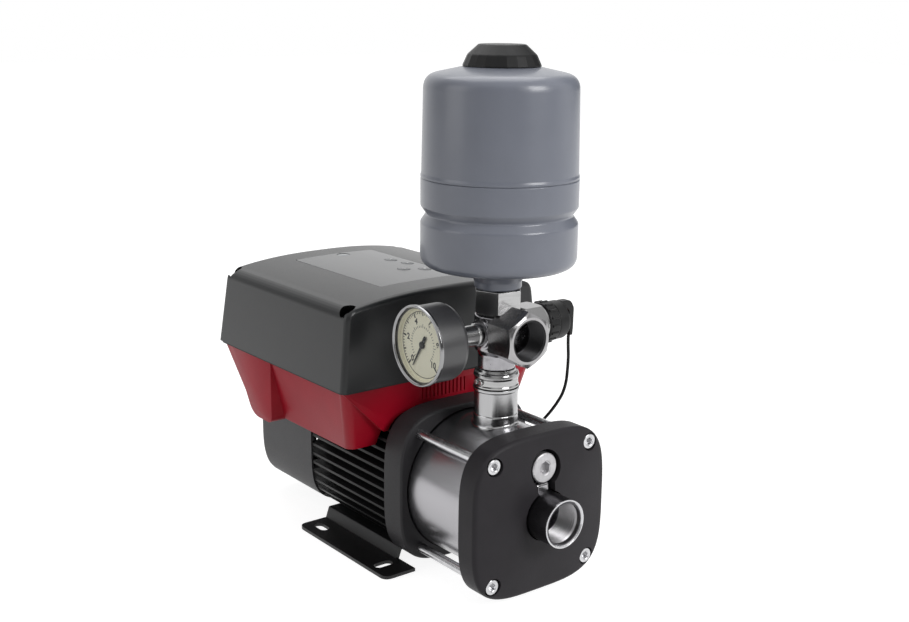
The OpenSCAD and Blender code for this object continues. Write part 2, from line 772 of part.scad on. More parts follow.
foot_hole_r = 2.5;
foot_hole_x = 55;
foot_hole_y = 36;
foot_x0 = foot_front - foot_len;
module foot_slot(x, y, turn) translate([x, y, -cut]) rotate([0, 0, turn])
    linear_extrude(height = foot_t + 2 * cut) {
        for (s = [-1, 1]) translate([s * (slot_len - slot_w) / 2, 0]) circle(r = slot_w / 2);
        translate([-(slot_len - slot_w) / 2, -slot_w / 2]) square([slot_len - slot_w, slot_w]);
    }
module foot_outline() {
    translate([foot_x0 + foot_corner, -foot_w / 2]) square([foot_len - 2 * foot_corner, foot_w]);
    translate([foot_x0, -foot_w / 2 + foot_corner]) square([foot_len, foot_w - 2 * foot_corner]);
    for (x = [foot_x0 + foot_corner, foot_front - foot_corner], y = [-1, 1])
        translate([x, y * (foot_w / 2 - foot_corner)]) circle(r = foot_corner);
}
module foot_plate() color("#202022") difference() {
    union() {
        linear_extrude(height = foot_t) difference() {
            foot_outline();
            translate([foot_x0 - cut, -riser_in]) square([foot_len + 2 * cut, 2 * riser_in]);
        }
        translate([foot_x0, 0, 0]) rotate([90, 0, 90]) linear_extrude(height = riser_x1 - foot_x0)
            polygon([[-riser_in, 0], [-riser_half + foot_t, foot_top_z - foot_t],
                [riser_half - foot_t, foot_top_z - foot_t], [riser_in, 0], [riser_foot, 0],
                [riser_half, foot_top_z], [-riser_half, foot_top_z], [-riser_foot, 0]]);
    }
    for (y = [-slot_span_y / 2, slot_span_y / 2]) {
        foot_slot(slot_span_x / 2, y, 90);
        foot_slot(-slot_span_x / 2, y, 0);
    }
    for (x = [-foot_screw_x, foot_screw_x], y = [-foot_screw_y, foot_screw_y])
        zcyl(x, y, -cut, foot_top_z + 2 * cut, foot_screw_d / 2 + close_gap);
    for (x = [-foot_hole_x, foot_hole_x], y = [-foot_hole_y, foot_hole_y])
        zcyl(x, y, -cut, foot_top_z + 2 * cut, foot_hole_r);
}
foot_head_h = 4;
foot_head_af = 9.6;
module foot_screws() color("#8a8d90")
    for (x = [-foot_screw_x, foot_screw_x], y = [-foot_screw_y, foot_screw_y]) {
        zcyl(x, y, foot_top_z - foot_t, foot_t + 2 * frame_wall - cut, foot_screw_d / 2);
        translate([x, y, foot_top_z - foot_t - foot_head_h])
            cylinder(h = foot_head_h, r = hex_r(foot_head_af), $fn = 6);
    }

// The four rounded corners of a box outline at height z
module corners(z, x0, x1, half, r) for (x = [x0 + r, x1 - r], y = [-half + r, half - r])
    translate([x, y, z]) cylinder(h = slice, r = r, $fn = 32);

boss_step = 1;
boss_out = base_half + boss_step;
boss_deep = 22;
boss_bend = 20;
boss_bend_front = 6;
bib_step = 4;
bib_x = box_front_x - bib_step;
bib_foot_half = 64;
bib_foot_drop = 42;
bib_foot_z = box_rim_z - bib_foot_drop;
module base_form(d) hull() {
    corners(box_rim_z - gasket_t - slice + (d > 0 ? cut : 0), box_back_x + rim_lap + d,
        box_front_x - rim_lap - d, base_half - d, box_corner - d);
    corners(lip_z + d, box_back_x + lip_back + d, box_front_x - lip_front - d,
        base_half - lip_in - d, box_corner - d);
}
// The tunnel that the motor lies in, with a flat for the motor's top pad
pad_gap = 1;
module arch_form(d) along_shaft(box_back_x - cut, box_len + 2 * cut) {
    polygon(bowed(arch_half + d, arch_top - shaft_h + d));
    translate([-pad_top_half - pad_gap - d, 0])
        square([2 * (pad_top_half + pad_gap + d), arch_top - shaft_h + d]);
}
module boss_foot(x, r) ycyl(x, lip_z - boss_drop + r, boss_out - boss_deep, boss_deep, r, $fn = 32);
module side_boss() hull() {
    translate([boss_x0, boss_out - boss_deep, box_rim_z - gasket_t - slice])
        cube([boss_len, boss_deep, slice]);
    boss_foot(boss_x1 - boss_low_len + boss_bend, boss_bend);
    boss_foot(boss_x1 - boss_bend_front, boss_bend_front);
}
screw_places = [for (x = [box_back_x + screw_in_x, box_front_x - screw_in_x], y = [-1, 1])
    [x, y * (box_half - screw_in_y)]];
board_rise = 6;
board_z = box_rim_z + board_rise;
board_half = 68;
board_t = 1.6;
board_in_back = 45;
board_in_front = 35;
board_hole_in = 14;
board_x0 = box_back_x + board_in_back;
board_x1 = box_front_x - board_in_front;
board_places = [for (x = [board_x0 + board_hole_in, board_x1 - board_hole_in], y = [-1, 1])
    [x, y * (board_half - board_hole_in)]];
module box_base() color("#8e1626") difference() {
    union() {
        difference() {
            union() {
                base_form(0);
                along_shaft(bib_x - lip_front, lip_front) polygon([
                    [-base_half, box_rim_z - gasket_t - shaft_h],
                    [base_half, box_rim_z - gasket_t - shaft_h],
                    [bib_foot_half, bib_foot_z - shaft_h], [-bib_foot_half, bib_foot_z - shaft_h]]);
                mirrored_y() side_boss();
            }
            difference() {
                base_form(box_wall);
                arch_form(box_wall);
            }
        }
        intersection() {
            base_form(0);
            for (p = screw_places) zcyl(p[0], p[1], lip_z, box_rim_z - gasket_t - lip_z, pillar_r);
        }
        for (p = board_places) zcyl(p[0], p[1], lip_z, board_z - lip_z, pillar_r);
    }
    arch_form(0);
    for (p = screw_places) zcyl(p[0], p[1], box_rim_z - screw_len - cut, screw_len + cut,
        screw_d / 2 + close_gap);
    for (k = [0 : vent_count - 1]) translate([bib_x - box_wall / 2,
        (k - (vent_count - 1) / 2) * vent_pitch - vent_w / 2, box_rim_z - vent_top_drop - vent_h])
        cube([box_wall, vent_w, vent_h]);
    zcyl(gland_place[0], gland_place[1], lip_z - cut, box_wall + 2 * cut, cable_d);
}

// The cover's outline at its rim, inset by d
module rim_outline(d) {
    r = box_corner - d;
    for (x = [box_back_x + d + r, box_front_x - d - r], y = [-box_half + d + r, box_half - d - r])
        translate([x, y]) circle(r = r);
    translate([box_back_x + d, -box_half + d + r]) square([box_len - 2 * d, box_w - 2 * (d + r)]);
    translate([box_back_x + d + r, -box_half + d]) square([box_len - 2 * (d + r), box_w - 2 * d]);
}
gasket_in = 1;
gasket_w = 5;
module box_gasket() color("#151515") difference() {
    translate([0, 0, box_rim_z - gasket_t]) linear_extrude(height = gasket_t) rim_outline(gasket_in);
    translate([0, 0, box_rim_z - gasket_t - cut]) linear_extrude(height = gasket_t + 2 * cut)
        rim_outline(gasket_in + gasket_w);
}
module cover_form(d) hull() {
    corners(box_rim_z - (d > 0 ? cut : 0), box_back_x + d, box_front_x - d, box_half - d,
        box_corner - d);
    for (x = [box_back_x + cover_draft + edge_r, box_front_x - cover_draft / 2 - edge_r],
        i = [0 : crown_steps]) let (y = crown_half * (2 * i / crown_steps - 1))
            translate([x, y, crown_z(y) - edge_r]) sphere(r = edge_r - d, $fn = 24);
}
pocket_z = side_z - pocket_drop;
module panel_form(x0, x1, half, low, top) translate([x0, 0, 0]) rotate([90, 0, 90])
    linear_extrude(height = x1 - x0) polygon(concat(
        [for (i = [0 : crown_steps]) let (y = half * (2 * i / crown_steps - 1)) [y, crown_z(y) - low]],
        [for (i = [crown_steps : -1 : 0]) let (y = half * (2 * i / crown_steps - 1))
            [y, crown_z(y) + top]]));
module panel_holes() for (share = concat(key_shares, [lens_share])) let (p = on_panel(share))
    zcyl(p[0], p[1], side_z - key_h - 2 * box_wall, key_h + 2 * box_wall + cover_crown + cut,
        key_r + seat_gap);
module box_cover() color("#404143") difference() {
    union() {
        difference() {
            cover_form(0);
            cover_form(box_wall);
        }
        intersection() {
            cover_form(0);
            for (p = screw_places) zcyl(p[0], p[1], box_rim_z, cover_side_h + cover_crown,
                screw_pocket_r + box_wall);
        }
    }
    for (p = screw_places) {
        zcyl(p[0], p[1], pocket_z, cover_side_h, screw_pocket_r);
        zcyl(p[0], p[1], box_rim_z - cut, cover_side_h, screw_d / 2 + close_gap);
    }
    panel_form(panel_x0, panel_x1, panel_half, panel_depth, cover_crown);
    panel_holes();
}
screw_socket = 2.8;
module cover_screws() color("#8a8d90") for (p = screw_places) difference() {
    union() {
        zcyl(p[0], p[1], pocket_z, screw_d, screw_head_r);
        zcyl(p[0], p[1], box_rim_z - screw_len, pocket_z - box_rim_z + screw_len + slice, screw_d / 2);
    }
    translate([p[0], p[1], pocket_z + screw_d / 2]) cylinder(h = screw_d, r = hex_r(screw_socket), $fn = 6);
}

can_r = 11;
can_h = 30;
can_pitch = 32;
can_back = 66;
sink_size = [30, 80, 24];
filter_size = [22, 100, 20];
part_in = 8;
module circuit_board() color("#1d6b3c") {
    difference() {
        translate([board_x0, -board_half, board_z]) cube([board_x1 - board_x0, 2 * board_half, board_t]);
        for (p = board_places) zcyl(p[0], p[1], board_z - cut, board_t + 2 * cut, screw_d / 2);
    }
    for (k = [-1 : 1]) zcyl(board_x0 + can_back, k * can_pitch, board_z + board_t, can_h, can_r);
    translate([board_x1 - part_in - sink_size[0], -sink_size[1] / 2, board_z + board_t]) cube(sink_size);
    translate([board_x0 + part_in, -filter_size[1] / 2, board_z + board_t]) cube(filter_size);
}
panel_clear = 0.4;
module panel_plate() color("#6d6f72") difference() {
    panel_form(panel_x0 + panel_clear, panel_x1 - panel_clear, panel_half - panel_clear,
        panel_depth, panel_t - panel_depth);
    panel_holes();
}
module key(i) color("#77797c") let (p = on_panel(key_shares[i]))
    zcyl(p[0], p[1], crown_z(p[1]) - key_h, key_h + key_travel, key_r);
module key_up() key(0);
module key_down() key(1);
module key_power() key(2);
module key_menu() key(3);
module indicator_lens() color("#9aa0a4") let (p = on_panel(lens_share))
    zcyl(p[0], p[1], crown_z(p[1]) - key_h, key_h, key_r);

gland_nut_share = 0.92;
// A cable gland that hangs below the face at height z
module gland(x, y, z, r, bore) translate([x, y, 0]) difference() {
    union() {
        translate([0, 0, z - r]) cylinder(h = r, r = hex_r(2 * r), $fn = 6);
        translate([0, 0, z - 2 * r]) cylinder(h = r + slice, r = r * gland_nut_share);
    }
    translate([0, 0, z - 2 * r - cut]) cylinder(h = 2 * r + 2 * cut, r = bore);
}
mains_r = 10;
mains_bore_r = 3.5;
mains_in = 20;
mains_x = boss_x1 - mains_in;
mains_y = boss_out - boss_deep / 2;
module sensor_gland() color("#1a1a1b") {
    gland(gland_place[0], gland_place[1], lip_z, gland_r, cable_d / 2 + close_gap);
}
module mains_gland() color("#1a1a1b")
    gland(mains_x, mains_y, lip_z - boss_drop, mains_r, mains_bore_r);

// The clip joint over the stub, with its seal
module union_ring() color("silver") difference() {
    zcyl(fitting_x, 0, stub_top_z, union_h, stub_r + stub_collar);
    zcyl(fitting_x, 0, stub_top_z - cut, union_h + 2 * cut, pipe_bore_r);
    difference() {
        zcyl(fitting_x, 0, stub_top_z + stub_collar, union_groove, stub_r + 2 * stub_collar);
        zcyl(fitting_x, 0, stub_top_z, union_h, pipe_r);
    }
}
module union_seal() color("#161616") translate([fitting_x, 0, stub_top_z + stub_collar + union_groove / 2])
    rotate_extrude() translate([pipe_r + union_groove / 2 + close_gap, 0])
        circle(r = union_groove / 2 - close_gap, $fn = 24);

module valve_cage() color("#d7d9db") translate([fitting_x, 0, 0]) {
    difference() {
        zcyl(0, 0, seat_z, seat_t, cage_r);
        zcyl(0, 0, seat_z - cut, seat_t + 2 * cut, cage_bore);
    }
    difference() {
        zcyl(0, 0, seat_z + cage_h, cage_post, cage_r);
        zcyl(0, 0, seat_z + cage_h - cut, cage_post + 2 * cut, cage_r - cage_post);
    }
    for (a = [0 : 120 : 240]) rotate([0, 0, a]) {
        translate([cage_r - cage_post, -cage_post / 2, seat_z + seat_t - slice])
            cube([cage_post - seat_gap, cage_post, cage_h - seat_t + 2 * slice]);
        translate([stem_r + seat_gap, -cage_post / 2, seat_z + cage_h])
            cube([cage_r - cage_post / 2 - stem_r, cage_post, cage_post]);
    }
}
module valve_poppet() color("#3a3c3f") {
    zcyl(fitting_x, 0, seat_z + seat_t, poppet_t, poppet_r);
    zcyl(fitting_x, 0, seat_z + seat_t + poppet_t - slice, cage_h, stem_r);
}
spring_z0 = seat_z + seat_t + poppet_t + spring_wire;
spring_z1 = seat_z + cage_h - spring_wire;
spring_steps = 60;
spring_sides = 6;
// A tube of closed rings swept through its own centre points. The path never follows level
module swept_tube(path, r, sides, level) {
    n = len(path);
    tangent = [for (i = [0 : n - 1]) let (d = path[min(i + 1, n - 1)] - path[max(i - 1, 0)]) d / norm(d)];
    side = [for (t = tangent) let (c = cross(t, level)) c / norm(c)];
    rings = [for (i = [0 : n - 1], k = [0 : sides - 1]) let (a = 360 * k / sides,
        u = side[i], v = cross(tangent[i], u)) path[i] + r * (cos(a) * u + sin(a) * v)];
    faces = [for (i = [0 : n - 2], k = [0 : sides - 1], h = [0, 1])
        let (a = i * sides + k, b = i * sides + (k + 1) % sides)
            h == 0 ? [a, a + sides, b] : [b, a + sides, b + sides]];
    polyhedron(concat(rings, [path[0], path[n - 1]]), concat(faces,
        [for (k = [0 : sides - 1]) [n * sides, k, (k + 1) % sides]],
        [for (k = [0 : sides - 1]) [n * sides + 1, (n - 1) * sides + (k + 1) % sides,
            (n - 1) * sides + k]]));
}
module valve_spring() color("#c5c8cc") swept_tube([for (i = [0 : spring_steps])
    let (a = 360 * spring_turns * i / spring_steps)
        [fitting_x + spring_r * cos(a), spring_r * sin(a),
            spring_z0 + (spring_z1 - spring_z0) * i / spring_steps]], spring_wire / 2, spring_sides,
    [0, 0, 1]);

core_half = 16;
cross_r = 15;
module port_fitting() color("#c9cbcd") difference() {
    union() {
        zcyl(fitting_x, 0, fitting_base_z, fitting_z - fitting_base_z, pipe_r);
        zcyl(fitting_x, 0, fitting_z - core_half, fitting_top_z - fitting_z + core_half, core_r);
        translate([fitting_x, 0, fitting_z - shaft_h])
            xcyl(0, outlet_reach - hex_len / 2, cross_r);
        xhex(fitting_x + outlet_reach - hex_len, hex_len, outlet_af, 0, fitting_z, 0);
        ycyl(fitting_x, fitting_z, -gauge_branch - stem_step, gauge_branch + stem_step, branch_r);
        ycyl(fitting_x, fitting_z, 0, branch_reach, cross_r);
    }
    zcyl(fitting_x, 0, fitting_base_z - cut, fitting_top_z - fitting_base_z + 2 * cut, pipe_bore_r);
    translate([fitting_x, 0, fitting_z - shaft_h]) {
        xcyl(0, outlet_reach + cut, pipe_bore_r);
        xcyl(outlet_reach - outlet_thread_len, outlet_thread_len + cut, outlet_bore_d / 2);
    }
    ycyl(fitting_x, fitting_z, -gauge_branch - stem_step - cut, gauge_branch + stem_step + cut, tap_r);
    ycyl(fitting_x, fitting_z, 0, branch_reach + cut, sensor_tap_r);
}

// The gauge faces -Y; its own z axis points out of its face
module at_gauge(z) translate([fitting_x, 0, fitting_z]) rotate([90, 0, 0])
    translate([0, 0, z]) children();
face = gauge_face_y;
dial_z = face - dial_depth;
case_wall = 1.6;
module gauge_case() color("#232323") difference() {
    at_gauge(0) rotate_extrude() polygon([[0, case_back_y - case_bulge - case_taper],
        [stem_pipe_r + case_wall, case_back_y - case_bulge - case_taper],
        [case_r * case_back_share, case_back_y - case_bulge], [case_r - case_wall, case_back_y - case_wall],
        [case_r, case_back_y], [case_r, face - bezel_lip / 2], [0, face - bezel_lip / 2]]);
    at_gauge(dial_z - dial_t) cylinder(h = dial_depth + dial_t + cut, r = case_r - case_wall);
    at_gauge(case_back_y) cylinder(h = gauge_depth, r = arbor_r + close_gap);
}
module gauge_stem() at_gauge(gauge_branch + stem_step)
    cylinder(h = case_back_y - case_bulge - case_taper - gauge_branch - stem_step, r = stem_pipe_r);
module gauge_bezel() color("#c8cacc") {
    difference() {
        at_gauge(face - bezel_h) cylinder(h = bezel_h, r = gauge_r);
        at_gauge(face - bezel_h - cut) cylinder(h = bezel_h + cut - bezel_lip / 2, r = case_r + close_gap);
        at_gauge(face - bezel_h) cylinder(h = bezel_h + cut, r = case_r - bezel_lip);
    }
}
module gauge_glass() color("#dfe6ea") at_gauge(face - glass_inset - glass_t)
    cylinder(h = glass_t, r = case_r - case_wall - close_gap);
module gauge_dial() color("#e9e4c4") difference() {
    at_gauge(dial_z - dial_t) cylinder(h = dial_t, r = case_r - case_wall - close_gap);
    at_gauge(dial_z - 2 * dial_t) cylinder(h = 3 * dial_t, r = arbor_r + close_gap);
}
pointer_lift = 0.6;
module gauge_pointer() color("#161616") at_gauge(dial_z + pointer_lift) {
    cylinder(h = 2 * pointer_t, r = hub_r);
    translate([0, 0, -arbor_len]) cylinder(h = arbor_len + slice, r = arbor_r);
    rotate([0, 0, -pointer_rest]) linear_extrude(height = pointer_t) polygon([
        [-pointer_w, -pointer_tail], [pointer_w, -pointer_tail], [pointer_w / 2, 0],
        [pointer_w / 4, pointer_len], [-pointer_w / 4, pointer_len], [-pointer_w / 2, 0]]);
}

thread_r = sensor_tap_r - close_gap;
module transmitter_body() color("#c9cbcd") {
    translate([fitting_x, transmitter_y0, fitting_z]) rotate([-90, 0, 0]) {
        cylinder(h = transmitter_len, r = hex_r(transmitter_af), $fn = 6);
        translate([0, 0, transmitter_len - slice])
            cylinder(h = plug_neck + slice, r = plug_r - plug_neck_in);
        translate([0, 0, -transmitter_len / 2]) cylinder(h = transmitter_len / 2 + slice, r = thread_r);
    }
}
plug_step = 11;
plug_rib = 1.5;
plug_rib_count = 16;
plug_rib_share = 1.4;
module transmitter_plug() color("#232323") {
    ycyl(fitting_x, fitting_z, plug_y0, plug_step, plug_r);
    ycyl(fitting_x, fitting_z, plug_y0 + plug_step - slice, plug_len - plug_step + slice,
        plug_r - plug_rib);
    for (k = [0 : plug_rib_count - 1]) translate([fitting_x, plug_y0 + plug_rib, fitting_z])
        rotate([0, 360 * k / plug_rib_count, 0]) translate([-plug_rib / 2, 0, plug_r - plug_rib])
            cube([plug_rib, plug_step - 2 * plug_rib, plug_rib_share * plug_rib]);
}
relief_y = cable_points[0][1];
relief_end_r = cable_d / 2 + relief_lip;
relief_drop = 13;
relief_z = fitting_z + relief_drop;
module strain_relief() color("#1b1b1c") {
    ycyl(fitting_x, relief_z, plug_y1, relief_y - plug_y1, relief_r);
    translate([fitting_x, relief_y, relief_z]) sphere(r = relief_r, $fn = 48);
    translate([fitting_x, relief_y, cable_points[0][2]])
        cylinder(h = relief_z - cable_points[0][2], r1 = relief_end_r, r2 = relief_r);
}

// A smooth curve through the route's points, sampled evenly in its parameter
function spline(p, t) = let (n = len(p) - 1, s = min(max(t, 0), n - slice / n), i = floor(s), u = s - i,
    a = p[max(i - 1, 0)], b = p[i], c = p[min(i + 1, n)], d = p[min(i + 2, n)])
    0.5 * (2 * b + (c - a) * u + (2 * a - 5 * b + 4 * c - d) * u * u + (3 * b - a - 3 * c + d) * u * u * u);
cable_path = concat([cable_points[0]], [for (i = [1 : cable_rings - 2])
    spline(cable_points, (len(cable_points) - 1) * i / (cable_rings - 1))],
    [cable_points[len(cable_points) - 1]]);
module sensor_cable() color("#141414") swept_tube(cable_path, cable_d / 2, cable_sides, [0, 1, 0]);
cable_length = [for (i = [1 : cable_rings - 1]) norm(cable_path[i] - cable_path[i - 1])];
function total(v, i = 0) = i < len(v) ? v[i] + total(v, i + 1) : 0;
echo(cable_length_mm = total(cable_length));

module tank_nut() color("#c9cbcd") difference() {
    translate([fitting_x, 0, fitting_top_z]) rotate([0, 0, nut_turn])
        cylinder(h = nut_h, r = hex_r(nut_af), $fn = 6);
    zcyl(fitting_x, 0, fitting_top_z - cut, nut_h + 2 * cut, tap_r + cut);
}
bend_angle = 78;
low_centre = tank_bottom_z + (tank_r - tank_bend_low + tank_bend_low * cos(bend_angle) - neck_r)
    / tan(bend_angle) + tank_bend_low * sin(bend_angle);
top_angle = 78;
top_centre = tank_top_z - (tank_r - tank_step - tank_bend_top + tank_bend_top * cos(top_angle) - cap_r)
    / tan(top_angle) - tank_bend_top * sin(top_angle);
groove_z = seam_z - groove_drop;
groove_shares = [[0, -1.4], [0.35, -0.75], [1, 0], [0.35, 0.75], [0, 1.4]];
function low_outline(w) = concat([[0, tank_bottom_z + w], [neck_r, tank_bottom_z + w]],
    arc([tank_r - tank_bend_low, low_centre], tank_bend_low - w, -bend_angle, 0),
    [for (s = groove_shares) [tank_r - w - s[0] * groove_depth, groove_z + s[1] * groove_depth]],
    [[tank_r - w, seam_z + (w > 0 ? cut : 0)], [0, seam_z + (w > 0 ? cut : 0)]]);
function top_outline(w) = concat([[0, tank_top_z - w], [0, seam_z - (w > 0 ? cut : 0)],
    [tank_r - tank_step - w, seam_z - (w > 0 ? cut : 0)]],
    arc([tank_r - tank_step - tank_bend_top, top_centre], tank_bend_top - w, 0, top_angle),
    [[cap_r, tank_top_z - w]]);
module tank_lower() color("#70747f") translate([fitting_x, 0, 0]) difference() {
    union() {
        rotate_extrude() polygon(low_outline(0));
        zcyl(0, 0, neck_z, tank_bottom_z - neck_z + tank_wall / 2, neck_r);
    }
    rotate_extrude() polygon(low_outline(tank_wall));
    zcyl(0, 0, neck_z - cut, tank_bottom_z - neck_z + tank_wall + 2 * cut, tap_r + cut);
}
module tank_upper() color("#70747f") translate([fitting_x, 0, 0]) difference() {
    rotate_extrude() polygon(top_outline(0));
    rotate_extrude() polygon(top_outline(tank_wall));
    zcyl(0, 0, tank_top_z - tank_wall - cut, tank_wall + 2 * cut, valve_r / 2);
}
bag_gap = 0.4;
bag_wall = 1.5;
bag_r = tank_r - tank_wall - groove_depth - bag_gap;
bag_shares = [[1, 1], [0.985, 0.72], [0.93, 0.5], [0.8, 0.33], [0.55, 0.22], [0.25, 0.18], [0, 0.17]];
// A point of the diaphragm's outline, w inside its outer face
function bag_point(share, w) = [max(0, share[0] * bag_r - w),
    tank_bottom_z + share[1] * (groove_z - tank_bottom_z) + w];
module diaphragm() color("#2a2523") translate([fitting_x, 0, 0]) rotate_extrude()
    polygon(concat([for (share = bag_shares) bag_point(share, 0)],
        [for (i = [len(bag_shares) - 1 : -1 : 0]) bag_point(bag_shares[i], bag_wall)]));
module air_valve() color("#b7a36a") {
    zcyl(fitting_x, 0, tank_top_z, valve_h, valve_r);
    zcyl(fitting_x, 0, tank_top_z - 2 * tank_wall, 2 * tank_wall + slice, valve_r / 2 - close_gap);
}
module valve_cap() color("#303033") translate([fitting_x, 0, tank_top_z]) difference() {
    rotate_extrude() polygon([[0, 0], [cap_r, 0], [cap_r, cap_wall / 2],
        [cap_r * cap_mid_share, cap_h * cap_mid_rise_share],
        [cap_r * cap_top_share + cap_wall, cap_h - cap_wall / 3],
        [cap_r * cap_top_share, cap_h], [0, cap_h]]);
    rotate_extrude() polygon([[0, -cut], [cap_r - cap_wall, -cut], [cap_r - cap_wall, cap_wall / 2],
        [cap_r * cap_mid_share - cap_wall, cap_h * cap_mid_rise_share - cap_wall / 2],
        [cap_r * cap_top_share, cap_h - cap_wall], [0, cap_h - cap_wall]]);
}

front_plate();
suction_housing();
priming_plug();
priming_seal();
tie_bolts();
pump_sleeve();
sleeve_seals();
stage_chambers();
seal_plate();
impellers();
rotor_shaft();
seal_stationary();
seal_rotating();
motor_bracket();
motor_frame();
stator_core();
windings();
rotor_core();
bearing_outers();
bearing_inners();
rear_shield();
cooling_fan();
fan_cover();
foot_plate();
foot_screws();
box_base();
box_cover();
box_gasket();
cover_screws();
circuit_board();
panel_plate();
key_up();
key_down();
key_power();
key_menu();
indicator_lens();
mains_gland();
sensor_gland();
union_ring();
union_seal();
valve_cage();
valve_poppet();
valve_spring();
port_fitting();
gauge_case();
gauge_stem();
gauge_bezel();
gauge_glass();
gauge_dial();
gauge_pointer();
transmitter_body();
transmitter_plug();
strain_relief();
sensor_cable();
tank_nut();
tank_lower();
tank_upper();
diaphragm();
air_valve();
valve_cap();
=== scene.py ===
# %% [markdown]
# # A horizontal multistage booster pump, dressed in Blender
# The imported model is the fixed frame: every piece here is made in metres in the
# same frame, +X along the shaft towards the suction port and +Z up. The box of
# the imported model is kept, and the lamps are hung round its middle.

# %% Load the frame
import json
from math import cos, pi, radians, sin, sqrt, tan

import bpy
from mathutils import Matrix, Vector

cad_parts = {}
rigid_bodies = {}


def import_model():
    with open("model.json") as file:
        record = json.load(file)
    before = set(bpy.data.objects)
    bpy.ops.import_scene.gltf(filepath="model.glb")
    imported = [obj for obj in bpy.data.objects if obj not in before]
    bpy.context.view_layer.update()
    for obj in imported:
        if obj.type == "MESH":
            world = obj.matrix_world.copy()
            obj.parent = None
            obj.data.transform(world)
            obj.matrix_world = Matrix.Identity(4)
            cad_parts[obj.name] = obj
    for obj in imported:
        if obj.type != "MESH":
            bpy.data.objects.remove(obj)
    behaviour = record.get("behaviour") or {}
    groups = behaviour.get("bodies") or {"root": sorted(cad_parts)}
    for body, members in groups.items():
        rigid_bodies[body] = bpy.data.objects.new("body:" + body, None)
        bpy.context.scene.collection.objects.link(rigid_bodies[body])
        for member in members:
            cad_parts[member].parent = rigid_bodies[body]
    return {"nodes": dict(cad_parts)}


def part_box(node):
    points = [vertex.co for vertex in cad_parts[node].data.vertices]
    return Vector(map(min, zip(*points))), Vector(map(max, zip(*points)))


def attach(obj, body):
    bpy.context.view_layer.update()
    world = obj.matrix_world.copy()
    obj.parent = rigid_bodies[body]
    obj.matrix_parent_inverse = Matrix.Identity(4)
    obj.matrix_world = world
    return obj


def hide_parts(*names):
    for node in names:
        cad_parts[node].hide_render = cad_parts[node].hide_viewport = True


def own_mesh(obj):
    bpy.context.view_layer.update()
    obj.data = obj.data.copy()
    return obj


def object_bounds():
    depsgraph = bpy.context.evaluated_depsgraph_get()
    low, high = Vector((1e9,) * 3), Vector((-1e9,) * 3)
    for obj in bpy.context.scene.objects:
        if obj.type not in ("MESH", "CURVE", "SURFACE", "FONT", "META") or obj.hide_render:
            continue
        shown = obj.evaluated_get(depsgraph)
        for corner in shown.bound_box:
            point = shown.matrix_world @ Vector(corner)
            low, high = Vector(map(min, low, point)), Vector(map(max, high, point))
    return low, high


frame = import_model()
cad_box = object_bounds()

# %% [markdown]
# ## The camera
# A photographer stood in front of the pump's left corner, a little above it and
# a metre away, with a lens of about 50 mm. Building the camera's own axes from
# an azimuth, an elevation and a small roll says more than three Euler angles.

# %% Place the camera
eye = Vector((0.89113, -0.65314, 0.48278))
azimuth, elevation, roll = radians(51.93), radians(13.9), radians(0.59)
back = Vector((sin(azimuth) * cos(elevation), -cos(azimuth) * cos(elevation), sin(elevation)))
level = Vector((cos(azimuth), sin(azimuth), 0))
right = cos(roll) * level + sin(roll) * back.cross(level)
attitude = Matrix((right, back.cross(right), back)).transposed().to_4x4()
camera = bpy.data.objects.new("camera", bpy.data.cameras.new("camera"))
camera.data.lens = 50.497
camera.data.sensor_width = 36
camera.matrix_world = Matrix.Translation(eye) @ attitude
bpy.context.scene.collection.objects.link(camera)
bpy.context.scene.camera = camera
print("camera at", [round(x, 3) for x in eye])

# %% [markdown]
# ## The sensor cable
# The thin lead leaves the transmitter's strain relief, hangs under its own
# weight and turns in under the control box. A Bezier curve passes through every
# point of its route, and handles of a sixth of the way between a point's
# neighbours make the bends smooth. A round bevel gives it its thickness: the
# bevel is 1 m deep and each point's radius scales it down, because Blender
# measures a curve's box with that radius.

# %% Lay the sensor cable
MM = 0.001
cable_d = 2.8 * MM
cable_route = [Vector(p) * MM for p in (
    (114.3, 80.5, 200), (114.3, 80.5, 192), (114.5, 81, 180), (114, 81, 168),
    (112.5, 81, 156), (109, 80.5, 145), (103, 80, 135), (96, 80, 126), (88, 80, 117),
    (78, 80.5, 107), (66, 81.5, 96), (53, 83, 86), (40, 84.5, 78), (27, 86, 73),
    (14, 87, 71), (2, 87, 73), (-6, 87, 79), (-9.5, 87, 87.5), (-10, 87, 94.5))]
lead = bpy.data.curves.new("sensor_cable_lead", "CURVE")
lead.dimensions = "3D"
lead.resolution_u = 8
lead.bevel_depth = 1
lead.bevel_resolution = 4
lead.use_fill_caps = True
line = lead.splines.new("BEZIER")
line.bezier_points.add(len(cable_route) - 1)
for i, (knot, place) in enumerate(zip(line.bezier_points, cable_route)):
    before, after = cable_route[max(i - 1, 0)], cable_route[min(i + 1, len(cable_route) - 1)]
    knot.co = place
    knot.radius = cable_d / 2
    knot.handle_left = place - (after - before) / 6
    knot.handle_right = place + (after - before) / 6
cable = bpy.data.objects.new("sensor_cable_lead", lead)
bpy.context.scene.collection.objects.link(cable)
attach(cable, "housing")
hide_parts("sensor_cable")

# %% [markdown]
# ## Floor, background and light
# A shader is a handful of nodes, and wiring them takes many lines. Two helpers
# keep that short: an input that is given another node's output is linked to it,
# and an input that is given a number or a colour is set to it.

# %% Helpers for shader nodes
def fill(tree, node, inputs):
    """Links or sets a node's inputs, each by its name or number"""
    for socket, value in inputs.items():
        if isinstance(value, bpy.types.NodeSocket):
            tree.links.new(value, node.inputs[socket])
        else:
            node.inputs[socket].default_value = value
    return node


def add(tree, kind, inputs=None, **settings):
    """Adds a shader node with its settings and fills its inputs"""
    node = tree.nodes.new("ShaderNode" + kind)
    for setting, value in settings.items():
        setattr(node, setting, value)
    return fill(tree, node, inputs or {})


